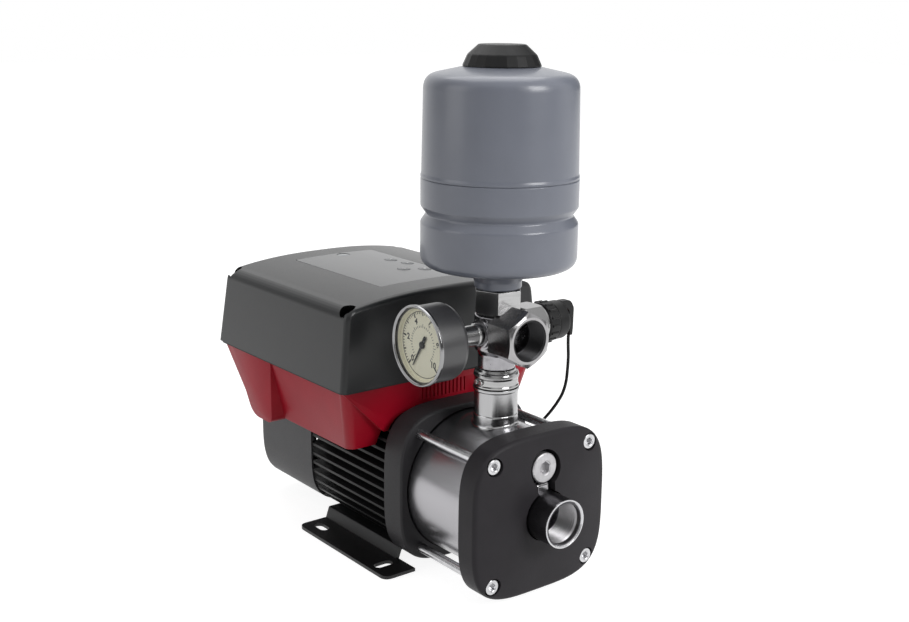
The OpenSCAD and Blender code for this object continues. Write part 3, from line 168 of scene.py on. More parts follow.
def seen_directly(tree):
    """1 for camera, glossy and transmission rays, 0 for the rays that carry light"""
    ray = add(tree, "LightPath").outputs
    either = add(tree, "Math", {0: ray["Is Camera Ray"], 1: ray["Is Glossy Ray"]}, operation="MAXIMUM")
    any_ray = add(tree, "Math", {0: either.outputs[0], 1: ray["Is Transmission Ray"]}, operation="MAXIMUM")
    return any_ray.outputs[0]


print("helpers for nodes are ready")

# %% [markdown]
# The pump stands on a plain white floor in a white room. What the camera, metal
# and glass see of the room is white at strength 1, while the light that falls on
# the pump is softer, so its dark paints stay dark.

# %% Build the room
white, room_light = (1, 1, 1, 1), 0.4
bpy.context.scene.view_settings.view_transform = "Standard"
world = bpy.data.worlds.new("white_room")
world.use_nodes = True
bpy.context.scene.world = world
room = world.node_tree
soft_room = fill(room, room.nodes["Background"], {"Color": white, "Strength": room_light})
seen_room = add(room, "Background")
mix = add(room, "MixShader", {"Fac": seen_directly(room), 1: soft_room.outputs[0], 2: seen_room.outputs[0]})
fill(room, room.nodes["World Output"], {"Surface": mix.outputs[0]})
print("room light:", room_light)

# %% [markdown]
# Metal shows the room it stands in, and in an all white room it looks like paper.
# A studio hangs dark screens beside the camera for this. Here they are part of
# the room, seen by glossy rays alone: a ray's bearing from the camera's side runs
# through a colour ramp, grey behind the camera and at its far left, dark at its
# right and behind the pump's right side, and white elsewhere. Rays that go steeply
# up meet the white ceiling.

# %% Hang dark screens for the metal
direction = add(room, "TexCoord").outputs["Generated"]
ahead = Vector((back.x, back.y, 0)).normalized()
sideways, forwards = (add(room, "VectorMath", {0: direction, 1: way}, operation="DOT_PRODUCT")
                      for way in (level, ahead))
bearing = add(room, "Math", {0: sideways.outputs["Value"], 1: forwards.outputs["Value"]}, operation="ARCTAN2")
turn = add(room, "MapRange", {"Value": bearing.outputs[0], "From Min": -pi, "From Max": pi})
screens = add(room, "ValToRGB", {"Fac": turn.outputs["Result"]})
stops = screens.color_ramp.elements
for degrees, grey in (
        (-180, 1), (-130, 1), (-112, 0.4), (-90, 0.4), (-72, 1), (-62, 1), (-35, 0.45), (8, 0.5),
        (28, 0.08), (80, 0.06), (94, 1), (112, 1), (126, 0.1), (152, 0.1), (170, 1)):
    stop = stops[0] if degrees == -180 else stops.new((degrees + 180) / 360)
    stop.color = (grey, grey, grey, 1)
height = add(room, "SeparateXYZ", {0: direction}).outputs["Z"]
ceiling = add(room, "MapRange", {"Value": height, "From Min": 0.5, "From Max": 0.75})
hung = add(room, "Mix", data_type="RGBA")
fill(room, hung, {"Factor": ceiling.outputs["Result"], "A": screens.outputs["Color"], "B": white})
glossy = add(room, "Mix", data_type="RGBA")
fill(room, glossy, {"Factor": add(room, "LightPath").outputs["Is Glossy Ray"], "A": white,
                    "B": hung.outputs["Result"]})
fill(room, seen_room, {"Color": glossy.outputs["Result"]})
print("screens:", len(stops), "stops")

# %% [markdown]
# ## The floor
# A plain white sheet. It has a faint diffuse share that takes the pump's shadow, and
# the rest of its white is a glow that only direct rays see.

# %% Lay the floor
bpy.ops.object.select_all(action="DESELECT")
floor_drop = 0.2 * MM
bpy.ops.mesh.primitive_plane_add(size=16, location=(0, 0, -floor_drop))
floor = bpy.context.object
floor.name = "floor"
floor_paint = bpy.data.materials.new("floor_white")
floor_paint.use_nodes = True
tree = floor_paint.node_tree
sheet = fill(tree, tree.nodes["Principled BSDF"], {"Base Color": (0.4, 0.4, 0.4, 1), "Roughness": 0.9})
glow = add(tree, "Emission", {"Strength": 0.87})
both = add(tree, "AddShader", {0: sheet.outputs[0], 1: glow.outputs[0]})
mix = add(tree, "MixShader", {"Fac": seen_directly(tree), 1: sheet.outputs[0], 2: both.outputs[0]})
fill(tree, tree.nodes["Material Output"], {"Surface": mix.outputs[0]})
floor.data.materials.append(floor_paint)
print("floor is", tuple(round(x, 1) for x in floor.dimensions), "m")

# %% [markdown]
# Three large soft lamps shape the dark paints: one above, a weak one at the left
# where the cover's long side turns, and the strongest at the front right.

# %% Hang the lamps
middle = (cad_box[0] + cad_box[1]) / 2
for name, away, size, power in (
        ("top_lamp", (-0.5, 0.3, 1.7), 1.6, 16), ("left_lamp", (-0.6, -1.9, 0.6), 1.2, 5.5),
        ("right_lamp", (1.9, 0.5, 1.0), 0.9, 27)):
    light = bpy.data.lights.new(name, "AREA")
    light.size = size
    light.energy = power
    lamp = bpy.data.objects.new(name, light)
    lamp.location = middle + Vector(away)
    lamp.rotation_euler = (middle - lamp.location).to_track_quat("-Z", "Y").to_euler()
    bpy.context.scene.collection.objects.link(lamp)

# %% [markdown]
# ## Finishes
# No real surface is one flat colour. Paint pools a little, moulded plastic has a
# fine grain, and turned steel is streaked. Every finish below is the same recipe
# with other amounts: a cloudy noise shifts colour and roughness, and a finer
# noise lifts the surface as a bump. The pattern reads Object coordinates, so it
# stays where it is on the piece.

# %% A recipe for finishes
def tone(code):
    """Linear colour of a display code such as 6f7480"""
    display = [int(code[i:i + 2], 16) / 255 for i in (0, 2, 4)]
    return [c / 12.92 if c <= 0.04045 else ((c + 0.055) / 1.055) ** 2.4 for c in display]


def noise(tree, scale, stretch, detail):
    """A noise on Object coordinates, finer along an axis that is stretched more"""
    place = add(tree, "TexCoord").outputs["Object"]
    mapping = add(tree, "Mapping", {"Vector": place, "Scale": stretch})
    pattern = add(tree, "TexNoise", {"Vector": mapping.outputs[0], "Scale": scale, "Detail": detail})
    return pattern.outputs["Fac"]


def between(tree, source, low, high):
    """Turns a noise of about 0.3 to 0.7 into a value from low to high"""
    ends = {"From Min": 0.3, "From Max": 0.7, "To Min": low, "To Max": high}
    return add(tree, "MapRange", {"Value": source, **ends}).outputs["Result"]


finishes = {}


def finish(name, code, rough, metal=0, mottle=0.06, spread=0.05, cloud=45, grain=0, grain_scale=1500,
           stretch=(1, 1, 1), level=0.5, coat=(0, 0.03), **inputs):
    """A material whose colour and roughness drift and whose surface has a fine grain.
    level is the specular level, and coat the weight and roughness of a clear coat"""
    material = finishes[name] = bpy.data.materials.new(name)
    material.use_nodes = True
    tree = material.node_tree
    cloudy, fine = noise(tree, cloud, stretch, 3), noise(tree, grain_scale, stretch, 2)
    dark, light = ([min(1, c * share) for c in tone(code)] + [1] for share in (1 - mottle, 1 + mottle))
    tint = add(tree, "Mix", data_type="RGBA")
    fill(tree, tint, {"Factor": between(tree, cloudy, 0, 1), "A": dark, "B": light})
    bump = add(tree, "Bump", {"Strength": grain, "Distance": 0.1 * MM, "Height": fine})
    fill(tree, tree.nodes["Principled BSDF"], {
        "Base Color": tint.outputs["Result"], "Normal": bump.outputs[0],
        "Roughness": between(tree, fine, rough - spread, rough + spread),
        "Metallic": metal, "Specular IOR Level": level,
        "Coat Weight": coat[0], "Coat Roughness": coat[1], **inputs})


print("the recipe is ready")

# %% [markdown]
# Painted and moulded surfaces first. The cover and the plates are near black with
# a satin face, the lower housing is a deep red plastic and the tank has a smooth
# blue grey stove enamel. A deep hole lets hardly any light out, so the walls of the
# cover's screw pockets get a near black of painted shade.

# %% Paints and plastics
finish("plate_paint", "2c2a2d", 0.46, grain=0.25, grain_scale=900, mottle=0.08, level=0.15)
finish("motor_black", "131314", 0.5, grain=0.3, grain_scale=700, level=0.3)
finish("bracket_black", "2c2b2d", 0.46, grain=0.3, grain_scale=700, level=0.2)
finish("fan_plastic", "242528", 0.5, level=0.25)
finish("cover_grey", "3c3c3e", 0.52, grain=0.2, grain_scale=1100, level=0.45)
finish("foot_black", "1a1a1b", 0.36, grain=0.15, grain_scale=1200, level=0.4)
finish("base_red", "a20a22", 0.42, grain=0.2, grain_scale=1300, mottle=0.05, level=0.3)
finish("box_black", "242526", 0.36, grain=0.25, grain_scale=1400, mottle=0.04, level=0.25, coat=(0.25, 0.22))
finish("panel_grey", "2c2e31", 0.26, level=0.4, spread=0.01, coat=(0.4, 0.2))
finish("key_grey", "3c3e42", 0.28)
finish("key_mark", "d8d8d8", 0.3)
finish("lens_smoke", "70757a", 0.15, coat=(0.4, 0.05))
# painted shade: a near black for the walls of the cover's deep screw pockets
finish("pocket_painted_shade", "020202", 0.8, level=0.05)
finish("gland_black", "111112", 0.42, grain=0.2, level=0.3)
finish("case_black", "303032", 0.36, grain=0.03, grain_scale=1200, level=0.8)
finish("cap_black", "101011", 0.42, grain=0.2, grain_scale=1000, level=0.25)
finish("cable_black", "0f0f0f", 0.5, grain=0.15, grain_scale=2500, level=0.3)
finish("tank_grey", "70747f", 0.36, grain=0.015, grain_scale=160, mottle=0.025, spread=0.02, coat=(0.3, 0.16))
finish("seal_rubber", "161616", 0.7, grain=0.3)
finish("board_green", "1d6b3c", 0.5)
finish("winding_copper", "a8642c", 0.35, metal=0.6, stretch=(1, 6, 6))
finish("dial_cream", "f1eed8", 0.6, mottle=0.02)
finish("dial_ink", "0e0c0a", 0.6)
finish("pointer_black", "0a0a0a", 0.4, level=0.2)
print("paints:", len(finishes))

# %% [markdown]
# Then the metals. The sleeve is brushed along the shaft, so its noise is pulled
# out along X and squeezed across it, and a little anisotropy spreads its sheen.

# %% Metals
finish("sleeve_steel", "a4a3a6", 0.25, metal=1, stretch=(1, 8, 8), cloud=5, grain_scale=22,
       mottle=0.03, spread=0.015, Anisotropic=0.5)
# painted reflection: the port's steel is darkened far below real steel, standing in for the dark reflection
# its polished pipe shows
finish("port_steel", "4b4a4d", 0.32, metal=1, grain=0.06, mottle=0.12, cloud=60)
finish("web_steel", "a9a8aa", 0.22, metal=1, grain=0.25, grain_scale=260, mottle=0.1, cloud=90)
finish("cast_steel", "b9b8ba", 0.42, metal=0.85, grain=0.5, grain_scale=420, mottle=0.1, cloud=160)
# painted shade: a near black metal for the lining deep in the outlet's bore
finish("bore_painted_shade", "2c2c2d", 0.34, metal=1, mottle=0.1, cloud=90)
finish("inlet_steel", "8e8d8f", 0.4, metal=1, mottle=0.1, cloud=90)
finish("bolt_steel", "c4c4c6", 0.24, metal=1, grain=0.05, mottle=0.08, cloud=200)
finish("stub_steel", "a8a8a9", 0.22, metal=1, stretch=(30, 30, 1), cloud=6, grain_scale=30,
       grain=0.01, mottle=0.04, spread=0.03)
finish("fitting_nickel", "9e9d9e", 0.2, metal=1, grain=0.06, grain_scale=420, mottle=0.08, cloud=90)
finish("forged_nickel", "98979a", 0.2, metal=1, grain=0.5, grain_scale=260, mottle=0.12, cloud=120,
       spread=0.08)
finish("sensor_steel", "a0a0a0", 0.22, metal=1, grain=0.05)
finish("nut_nickel", "a6a6a6", 0.2, metal=1, stretch=(1, 1, 6), cloud=60, grain=0.05, mottle=0.08)
finish("bezel_chrome", "8f8f90", 0.16, metal=1, grain=0.03)
finish("shaft_steel", "b8bcc2", 0.25, metal=1)
finish("stage_steel", "c9ccd0", 0.3, metal=1)
finish("core_steel", "6f7276", 0.45, metal=0.8, stretch=(40, 1, 1))
finish("shield_grey", "4b4c4e", 0.45, metal=0.5, grain=0.2)
finish("spring_steel", "c5c8cc", 0.25, metal=1)
finish("valve_brass", "b7a36a", 0.25, metal=1)
finish("seal_carbon", "3b3f45", 0.4)
finish("valve_plastic", "d7d9db", 0.4)
finish("gauge_glass", "f4f8f8", 0.04, spread=0.01, level=0.2, Alpha=0.03)
print("finishes:", len(finishes))

# %% [markdown]
# ## Tools for modelling
# By hand, one selects something, presses a key and looks. In a script the same
# steps need three habits: deselect everything first, pick faces and edges by where
# they lie, and write an object's place into its mesh, so that the piece sits at the
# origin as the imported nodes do.

# %% Select, name and pick
def hold(piece=None):
    """Back to object mode with nothing selected, or with one piece selected and active"""
    if bpy.context.object and bpy.context.object.mode != "OBJECT":
        bpy.ops.object.mode_set(mode="OBJECT")
    bpy.ops.object.select_all(action="DESELECT")
    if piece:
        piece.select_set(True)
        bpy.context.view_layer.objects.active = piece
    return piece


def take(name):
    """Names the new primitive and writes its place into its mesh"""
    piece = bpy.context.object
    piece.name = piece.data.name = name
    bpy.ops.object.transform_apply()
    return piece


def pick(piece, kind, test):
    """Goes into edit mode with every face or edge selected that passes a test.
    A face is tested by its centre and normal, an edge by its two ends"""
    hold(piece)
    bpy.ops.object.mode_set(mode="EDIT")
    bpy.ops.mesh.select_mode(type=kind)
    bpy.ops.mesh.select_all(action="DESELECT")
    bpy.ops.object.mode_set(mode="OBJECT")
    corners = piece.data.vertices
    found = 0
    for part in piece.data.polygons if kind == "FACE" else piece.data.edges:
        seen = (part.center, part.normal) if kind == "FACE" else [corners[i].co for i in part.vertices]
        part.select = bool(test(*seen))
        found += part.select
    bpy.ops.object.mode_set(mode="EDIT")
    return found


def sizes(piece):
    """A piece's three dimensions in mm"""
    return [round(d / MM, 1) for d in piece.dimensions]


# %% [markdown]
# Modifiers are applied at once, so that a later step works on the real mesh. A
# bevel with a shade by angle is the usual finish of a machined or cast edge. Normals
# weighted by the faces' size then keep a large flat face flat right up to its bevel.

# %% Modifiers, cuts and soft edges
def modify(piece, kind, **settings):
    """Adds a modifier with its settings"""
    modifier = piece.modifiers.new(kind.lower(), kind)
    for setting, value in settings.items():
        setattr(modifier, setting, value)
    return modifier


def apply_modifier(piece, kind, **settings):
    """Adds a modifier and writes what it does into the mesh"""
    hold(piece)
    modifier = modify(piece, kind, **settings)
    bpy.context.view_layer.update()
    bpy.ops.object.modifier_apply(modifier=modifier.name)
    return piece


def cut_with(piece, tool, operation="DIFFERENCE"):
    """Cuts or joins a piece with a tool, which is then gone"""
    apply_modifier(piece, "BOOLEAN", operation=operation, solver="MANIFOLD", object=tool)
    bpy.data.objects.remove(tool)
    if not piece.data.polygons:
        raise ValueError(piece.name + " was cut away whole")
    return piece


def smooth(piece, angle=40):
    """Shades a piece smooth, except at edges sharper than an angle"""
    hold(piece)
    bpy.ops.object.shade_smooth_by_angle(angle=radians(angle))
    return piece


def soften(piece, width, segments=2, angle=30):
    """Bevels every edge sharper than an angle and shades the piece"""
    apply_modifier(piece, "BEVEL", width=width * MM, segments=segments,
                   limit_method="ANGLE", angle_limit=radians(angle))
    return apply_modifier(smooth(piece, angle), "WEIGHTED_NORMAL", keep_sharp=True, weight=100)


def melt(piece, voxel, rounds):
    """Gives joined shapes one even skin and melts the corners between them"""
    apply_modifier(piece, "REMESH", mode="VOXEL", voxel_size=voxel * MM, use_smooth_shade=True)
    return apply_modifier(piece, "SMOOTH", factor=0.5, iterations=rounds)


def join(pieces, name):
    """Joins several pieces into one"""
    hold(pieces[0])
    for piece in pieces:
        piece.select_set(True)
    bpy.ops.object.join()
    pieces[0].name = pieces[0].data.name = name
    return pieces[0]


def settle(piece, look, *nodes, body="housing", slot=None):
    """Gives a finished piece its look, its body and its material slot, and hides the nodes it stands for.
    The slot argument is not used."""
    piece.data.materials.clear()
    piece.data.materials.append(finishes[look])
    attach(piece, body)
    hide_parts(*nodes)
    return piece


print("tools are ready")

# %% [markdown]
# Most of a pump is turned or cast. Both start from an outline: a vertex is extruded
# from point to point, and the row is then spun round an axis, or filled and
# extruded. Corners that carry a radius are drawn as a short curve.

# %% Outlines, turning and slabs
def rounded(corners, bends=4, closed=False):
    """Corners of (across, along, radius) as an outline whose corners are curved.
    A corner without a radius stays sharp, and so does an open outline's end"""
    outline = []
    for i, (across, along, *radius) in enumerate(corners):
        here = Vector((across, along))
        if not any(radius) or i in (0, len(corners) - 1) and not closed:
            outline.append((across, along))
            continue
        back, ahead = (Vector(corners[(i + k) % len(corners)][:2]) - here for k in (-1, 1))
        reach = min(radius[0] / tan(back.angle(ahead) / 2), 0.49 * back.length, 0.49 * ahead.length)
        start, end = here + back.normalized() * reach, here + ahead.normalized() * reach
        for t in (k / bends for k in range(bends + 1)):
            outline.append(tuple(start * (1 - t) ** 2 + here * 2 * t * (1 - t) + end * t * t))
    return outline


def outward(piece):
    """Turns every face outwards and leaves edit mode"""
    bpy.ops.mesh.select_all(action="SELECT")
    bpy.ops.mesh.normals_make_consistent(inside=False)
    return hold(piece)


def chain(name, points, face=False):
    """A row of vertices, extruded from point to point, and filled if it is a face"""
    hold()
    bpy.ops.mesh.primitive_plane_add(size=MM, location=points[0])
    piece = take(name)
    bpy.ops.object.mode_set(mode="EDIT")
    bpy.ops.mesh.select_mode(type="VERT")
    bpy.ops.mesh.select_all(action="SELECT")
    bpy.ops.mesh.merge(type="CENTER")
    for here, there in zip(points, points[1:]):
        bpy.ops.mesh.extrude_region_move(TRANSFORM_OT_translate={"value": there - here})
    bpy.ops.mesh.select_all(action="SELECT")
    if face:
        bpy.ops.mesh.edge_face_add()
    return piece


axes = {"X": Vector((1, 0, 0)), "Y": Vector((0, 1, 0)), "Z": Vector((0, 0, 1))}


def turned(name, corners, place, axis="Z", steps=96, bends=4, closed=False):
    """Corners in mm, spun round an axis through a place. Each has its distance from
    the axis, its place along it and, where it is curved, a radius"""
    across = axes["X"] if axis != "X" else axes["Z"]
    centre = Vector(place) * MM
    outline = [centre + (across * r + axes[axis] * h) * MM for r, h in rounded(corners, bends, closed)]
    piece = chain(name, outline)
    bpy.ops.mesh.spin(steps=steps, angle=2 * pi, center=centre, axis=axes[axis])
    bpy.ops.mesh.select_all(action="SELECT")
    bpy.ops.mesh.remove_doubles(threshold=0.003 * MM)
    return outward(piece)


def slab(name, outline, axis, start, depth):
    """A flat outline in mm, filled and extruded by a depth along an axis"""
    lay = {"X": lambda a, b: (start, a, b), "Y": lambda a, b: (a, start, b),
           "Z": lambda a, b: (a, b, start)}[axis]
    piece = chain(name, [Vector(lay(*point)) * MM for point in outline], face=True)
    bpy.ops.mesh.extrude_region_move(TRANSFORM_OT_translate={"value": axes[axis] * depth * MM})
    return outward(piece)


def rod(name, place, radius, length, axis="Z", sides=64, turn=0):
    """A bar in mm from a place along an axis; six sides make a hexagon of that half width"""
    centre = Vector(place) + axes[axis] * length / 2
    hold()
    bpy.ops.mesh.primitive_cylinder_add(vertices=sides, radius=radius * MM, depth=length * MM,
                                        location=centre * MM)
    spin = Matrix.Rotation(radians(turn), 4, axis) @ {
        "X": Matrix.Rotation(pi / 2, 4, "Y"), "Y": Matrix.Rotation(-pi / 2, 4, "X"),
        "Z": Matrix.Identity(4)}[axis]
    bpy.context.object.matrix_world = Matrix.Translation(centre * MM) @ spin
    return take(name)


def block(name, centre, size):
    """A box in mm, for use as a cutting tool"""
    hold()
    bpy.ops.mesh.primitive_cube_add(size=1, location=Vector(centre) * MM, scale=Vector(size) * MM)
    return take(name)


print("outlines are ready")

# %% [markdown]
# ## The diaphragm tank
# The tank is two deep drawn shells with a rolled seam, a pressed groove and a
# welded neck, all enamelled together. A lathe outline with curved corners gives
# each shell, and the small step at the seam catches a light line over a dark one.

# %% Turn the two shells
riser_x = 114.3
riser = (riser_x, 0, 0)
upper = turned("tank_upper_shell", [
    (0, 429.3), (31, 429.3), (61.6, 422.6, 13), (63, 346.5, 3), (63.6, 344.6, 0.8),
    (63.6, 343, 0.3), (63, 342.8, 0.2), (0, 342.8)], riser, steps=128, bends=8)
lower = turned("tank_lower_shell", [
    (0, 342.6), (63, 342.6, 0.2), (63.6, 341.8, 0.7), (63.65, 320.2, 3.5), (59, 313.6, 2.2),
    (63.65, 307, 4.5), (63.65, 272.3, 10.5), (22.5, 264, 6), (19.6, 258.5, 4), (19.4, 253.4, 0.8),
    (18.2, 252.3, 0.5), (0, 252.3)], riser, steps=128, bends=7)
settle(smooth(upper), "tank_grey", "tank_upper")
settle(smooth(lower), "tank_grey", "tank_lower")
print("tank:", sizes(upper), sizes(lower))

# %% [markdown]
# The cap over the air valve is moulded with faint flats for the fingers. Spinning
# the outline in only 22 steps leaves those flats, and a small bevel rounds them.

# %% Turn the cap
cap = turned("tank_cap", [
    (0, 446.5), (18.6, 446.5, 2.5), (27.4, 438.6, 5), (31, 430.6, 0.6), (31, 429.5, 0.3),
    (28.6, 429.5, 0.3), (25, 437.4, 3), (0, 444.6)], riser, steps=22)
settle(soften(cap, 0.5, angle=12), "cap_black", "valve_cap", body="cap")
print("cap:", sizes(cap))

# %% [markdown]
# Nuts and hexagonal ends are the meeting of two shapes: a six sided bar, and the
# lathe that turns its corners off at 30 degrees. An intersection gives the curved
# edge that every real nut has.

# %% Hexagons with turned corners
def hexagon(name, place, flats, length, axis="Z", turn=0, ends=(1, 1)):
    """A hexagonal bar in mm, turned off at the ends that are marked 1"""
    start, end, half_width = -ends[0], length + ends[1], flats / sqrt(3)
    bar = rod(name, Vector(place) + axes[axis] * start, half_width, end - start, axis, 6, turn)
    corner, inner = half_width + 0.2, flats * 0.47
    fall = (corner - inner) * tan(pi / 6)
    outline = [(0, 0), (inner, 0), (corner, fall)] if ends[0] else [(0, -1), (corner, -1)]
    outline += [(corner, length - fall), (inner, length), (0, length)] if ends[1] else [
        (corner, length + 1), (0, length + 1)]
    return cut_with(bar, turned("lathe", outline, place, axis), "INTERSECT")


nut = hexagon("tank_swivel_nut", (riser_x, 0, 231.2), 36.4, 20.4, turn=-8, ends=(1, 0))
cut_with(nut, turned("nut_bore", [(0, 249), (12, 249), (15.2, 251.9), (0, 251.9)], riser))
settle(soften(nut, 0.5), "nut_nickel", "tank_nut", slot="fitting_nickel")
print("nut:", len(nut.data.polygons), "faces")

# %% [markdown]
# ## The control box's cover
# The cover is a moulded shell with drafted sides, soft shoulders and an arched top.
# Its section across the pump holds the arch and both shoulders, so the section is
# extruded along the shaft. The front and back are then leaned inwards, and the
# edges round them are bevelled.

# %% Extrude the cover's section
box_back, box_front = -168.5, 47
rim_half, rim_z = 108, 163
crown_half, crown_z, arch = 90.5, 233, 7
shoulder, shoulder_z = 11, 222


def crown(y):
    """Height of the arched top at y"""
    return crown_z + arch * (1 - min(1, abs(y) / crown_half) ** 2.5)


one_side = [(rim_half, rim_z)] + [
    (crown_half + shoulder * cos(radians(a)), shoulder_z + shoulder * sin(radians(a)))
    for a in (6.3, 20, 34, 48, 62, 73, 79)] + [(y, crown(y)) for y in range(88, 0, -2)]
section = one_side + [(0, crown(0))] + [(-y, z) for y, z in reversed(one_side)]
cover = slab("box_cover_shell", section, "X", box_back, box_front - box_back)
for end, lean in ((box_front, radians(2.8)), (box_back, radians(-5.4))):
    pick(cover, "FACE", lambda c, n: abs(c.x - end * MM) < 1e-4)
    bpy.ops.transform.rotate(value=lean, orient_axis="Y", center_override=(end * MM, 0, rim_z * MM))
    hold(cover)
top_x = [v.co.x / MM for v in cover.data.vertices if v.co.z > (crown(0) - 0.1) * MM]
print("the cover's top runs from", round(min(top_x), 1), "to", round(max(top_x), 1))

# %% [markdown]
# The leaned end faces make the upright corners and the top's front edge. A wide
# bevel of several segments on just those edges rounds them, and the rim below
# stays sharp. Four round pockets then break through the corners, where the
# cover's screws sit deep, and a shallow recess takes the control panel. The
# pockets' walls take a near black of painted shade, as a second material.

# %% Round the ends and cut the pockets and the panel's recess
near_front, near_back = (box_front - 5) * MM, (box_back + 9.5) * MM
edges = pick(cover, "EDGE", lambda a, b: (min(a.x, b.x) > near_front or max(a.x, b.x) < near_back)
             and max(a.z, b.z) > rim_z * MM + 1e-5)
bpy.ops.mesh.bevel(offset=4.8 * MM, segments=6, affect="EDGES", clamp_overlap=False)
screw_spots = [(x, y) for x in (-156.5, 35) for y in (-94.5, 94.5)]
pocket_r, pocket_z = 6.5, 221
for x, y in screw_spots:
    cut_with(cover, rod("pocket", (x, y, pocket_z), pocket_r, 30, sides=40))
panel_back, panel_front, panel_half = -132, 10, 44


def arched_panel(name, gap, low, high, corner):
    """A bent plate, from low to high above the crown and by a gap smaller than the
    panel's field, whose four corners are rounded as seen from above"""
    half = panel_half - gap
    across = [half * k / 24 for k in range(-24, 25)]
    arched = [(y, crown(y) + low) for y in across] + [(y, crown(y) + high) for y in reversed(across)]
    plate = slab(name, arched, "X", panel_back + gap, panel_front - panel_back - 2 * gap)
    pick(plate, "EDGE", lambda a, b: (a - b).length < 0.03 and abs(a.y - b.y) < 1e-6
         and abs(a.x - b.x) < 1e-6 and abs(a.y) > (half - 0.1) * MM)
    bpy.ops.mesh.bevel(offset=corner * MM, segments=5, affect="EDGES")
    return hold(plate)


cut_with(cover, arched_panel("recess", 0, -1.2, 8, 4))
settle(soften(cover, 0.35, 2, 40), "box_black", "box_cover")
# painted shade: the screw pockets' walls get a near black second material
cover.data.materials.append(finishes["pocket_painted_shade"])
for face in cover.data.polygons:
    x, y, z = face.center / MM
    away = min((x - a) ** 2 + (y - b) ** 2 for a, b in screw_spots)
    if z > pocket_z - 0.1 and away < (pocket_r + 0.1) ** 2:
        face.material_index = 1
print("bevelled edges:", edges, "- cover faces:", len(cover.data.polygons))

# %% [markdown]
# The panel is a printed film that lies in the recess, bent with the arch. Its four
# keys are low domes pressed up from below. Each carries a small plain mark, as such
# keys do: two arrows, a ring and a square. The lamp's lens is one more dome.

# %% Lay the panel and its keys
def button(name, x, y, lift, dip, corner):
    """A round button whose middle stands a lift above the crown. Its edge lies
    a dip below the middle and its corner is rounded"""
    top = crown(y) + lift
    corners = [(0, top - 4), (6, top - 4), (6, top - dip, corner), (0, top)]
    return smooth(turned(name, corners, (x, y, 0), steps=40))


panel = arched_panel("control_panel", 0.5, -1.1, -0.25, 3.6)
keys = {"up": (-77.3, 28.2, 3, 90), "down": (-56.7, 32.6, 3, 270), "power": (-35.4, 13.2, 20, 0),
        "menu": (-25.9, 29.9, 4, 45)}
lens_spot = (-122.8, 4.4)
for x, y in [key[:2] for key in keys.values()] + [lens_spot]:
    cut_with(panel, rod("opening", (x, y, 220), 6.2, 30, sides=40))
settle(soften(panel, 0.15, 2, 40), "panel_grey", "panel_plate")
for word, (x, y, sides, turn) in keys.items():
    node, mark_z = "key_" + word, crown(y) - 0.3
    settle(button(node + "_dome", x, y, 0.2, 0.25, 0.7), "key_grey", node, body=word + "_key")
    mark = rod(node + "_mark", (x, y, mark_z), 1.7, 0.75, sides=sides, turn=turn)
    if word == "power":
        cut_with(mark, rod("ring_bore", (x, y, mark_z - 0.5), 1.1, 2, sides=20))
    settle(soften(mark, 0.08), "key_mark", node, body=word + "_key", slot="key_grey")
settle(button("status_lens", *lens_spot, -0.1, 0.5, 0.4), "lens_smoke", "indicator_lens")
print("panel faces:", len(panel.data.polygons))

# %% [markdown]
# ## The outlet fitting
# The fitting is a brass forging with nickel plate: an upright pipe, a bulged core
# and three branches that run into each other with soft fillets. Such fillets are
# tedious to bevel by hand. The plain shapes are joined, a voxel remesh gives them
# one even skin, and a few rounds of smoothing melt the inner corners as in a die.

# %% Forge the core and its branches
centre = Vector((riser_x, 0, 215.5))
core = turned("outlet_fitting_body", [
    (0, 184.8), (15.5, 184.8, 0.6), (15.5, 197, 3), (19, 202, 4), (19, 230.4, 1), (0, 230.4)], riser, bends=5)
for name, axis, corners in (
        ("outlet_branch", "X", [(0, 0), (16, 0), (15.4, 14, 4), (19.5, 20, 3), (19.5, 23), (0, 23)]),
        ("sensor_branch", "Y", [(0, 0), (15.5, 0), (14.6, 17, 2), (15, 20.6, 1), (0, 20.6)]),
        ("gauge_branch", "Y", [(0, 0), (14, 0), (12, -12, 3), (12, -19.3, 1), (0, -19.3)])):
    cut_with(core, turned(name, corners, centre, axis, 64), "UNION")
settle(melt(core, 0.75, 7), "forged_nickel", "port_fitting", slot="fitting_nickel")
print("forged body:", len(core.data.polygons), "faces")

# %% [markdown]
# The outlet's hexagon is machined, so it stays crisp. It is turned off at its
# mouth, and a plain bore takes a turned lining with the pipe thread: a row of ridges
# with 55 degree flanks. Behind the thread the lining steps in.

# %% Cut the outlet's hexagon and its thread
pitch, crest = 2.31, 15.3


def thread(starts, *ridge):
    """A thread's outline: the points (radius, along) of one ridge, repeated from each start"""
    return [(radius, start + along) for start in starts for radius, along in ridge]


outlet = hexagon("outlet_hexagon", centre + Vector((13, 0, 0)), 41, 28.2, "X", turn=30, ends=(0, 1))
cut_with(outlet, turned("bore", [(0, 14), (17.2, 14), (17.2, 41.6), (0, 41.6)], centre, "X"))
settle(soften(outlet, 0.45, 2, 28), "fitting_nickel", "port_fitting")
mouth, root = 40, 16.5
lining = turned("outlet_thread", [(17.3, 13.4), (17.3, 40.9), (crest, mouth)] + thread(
    [mouth - pitch * k for k in range(1, 8)], (root, 1.3), (root, 0.9), (crest, 0)) + [
    (crest, 22.3), (12, 21.5), (12, 14), (0, 13.4), (17.3, 13.4)], centre, "X")
# the threaded lining is painted near black, as the shade inside the bore
settle(smooth(lining, 32), "bore_painted_shade", "port_fitting", slot="fitting_nickel")
print("outlet and thread faces:", len(outlet.data.polygons), len(lining.data.polygons))

# %% [markdown]
# The clip joint holds the fitting on the pump's stub. It is a pressed collar with a
# bright bead round its middle, a dark parting line above and below, and two small
# ears on each side where the clip closes.

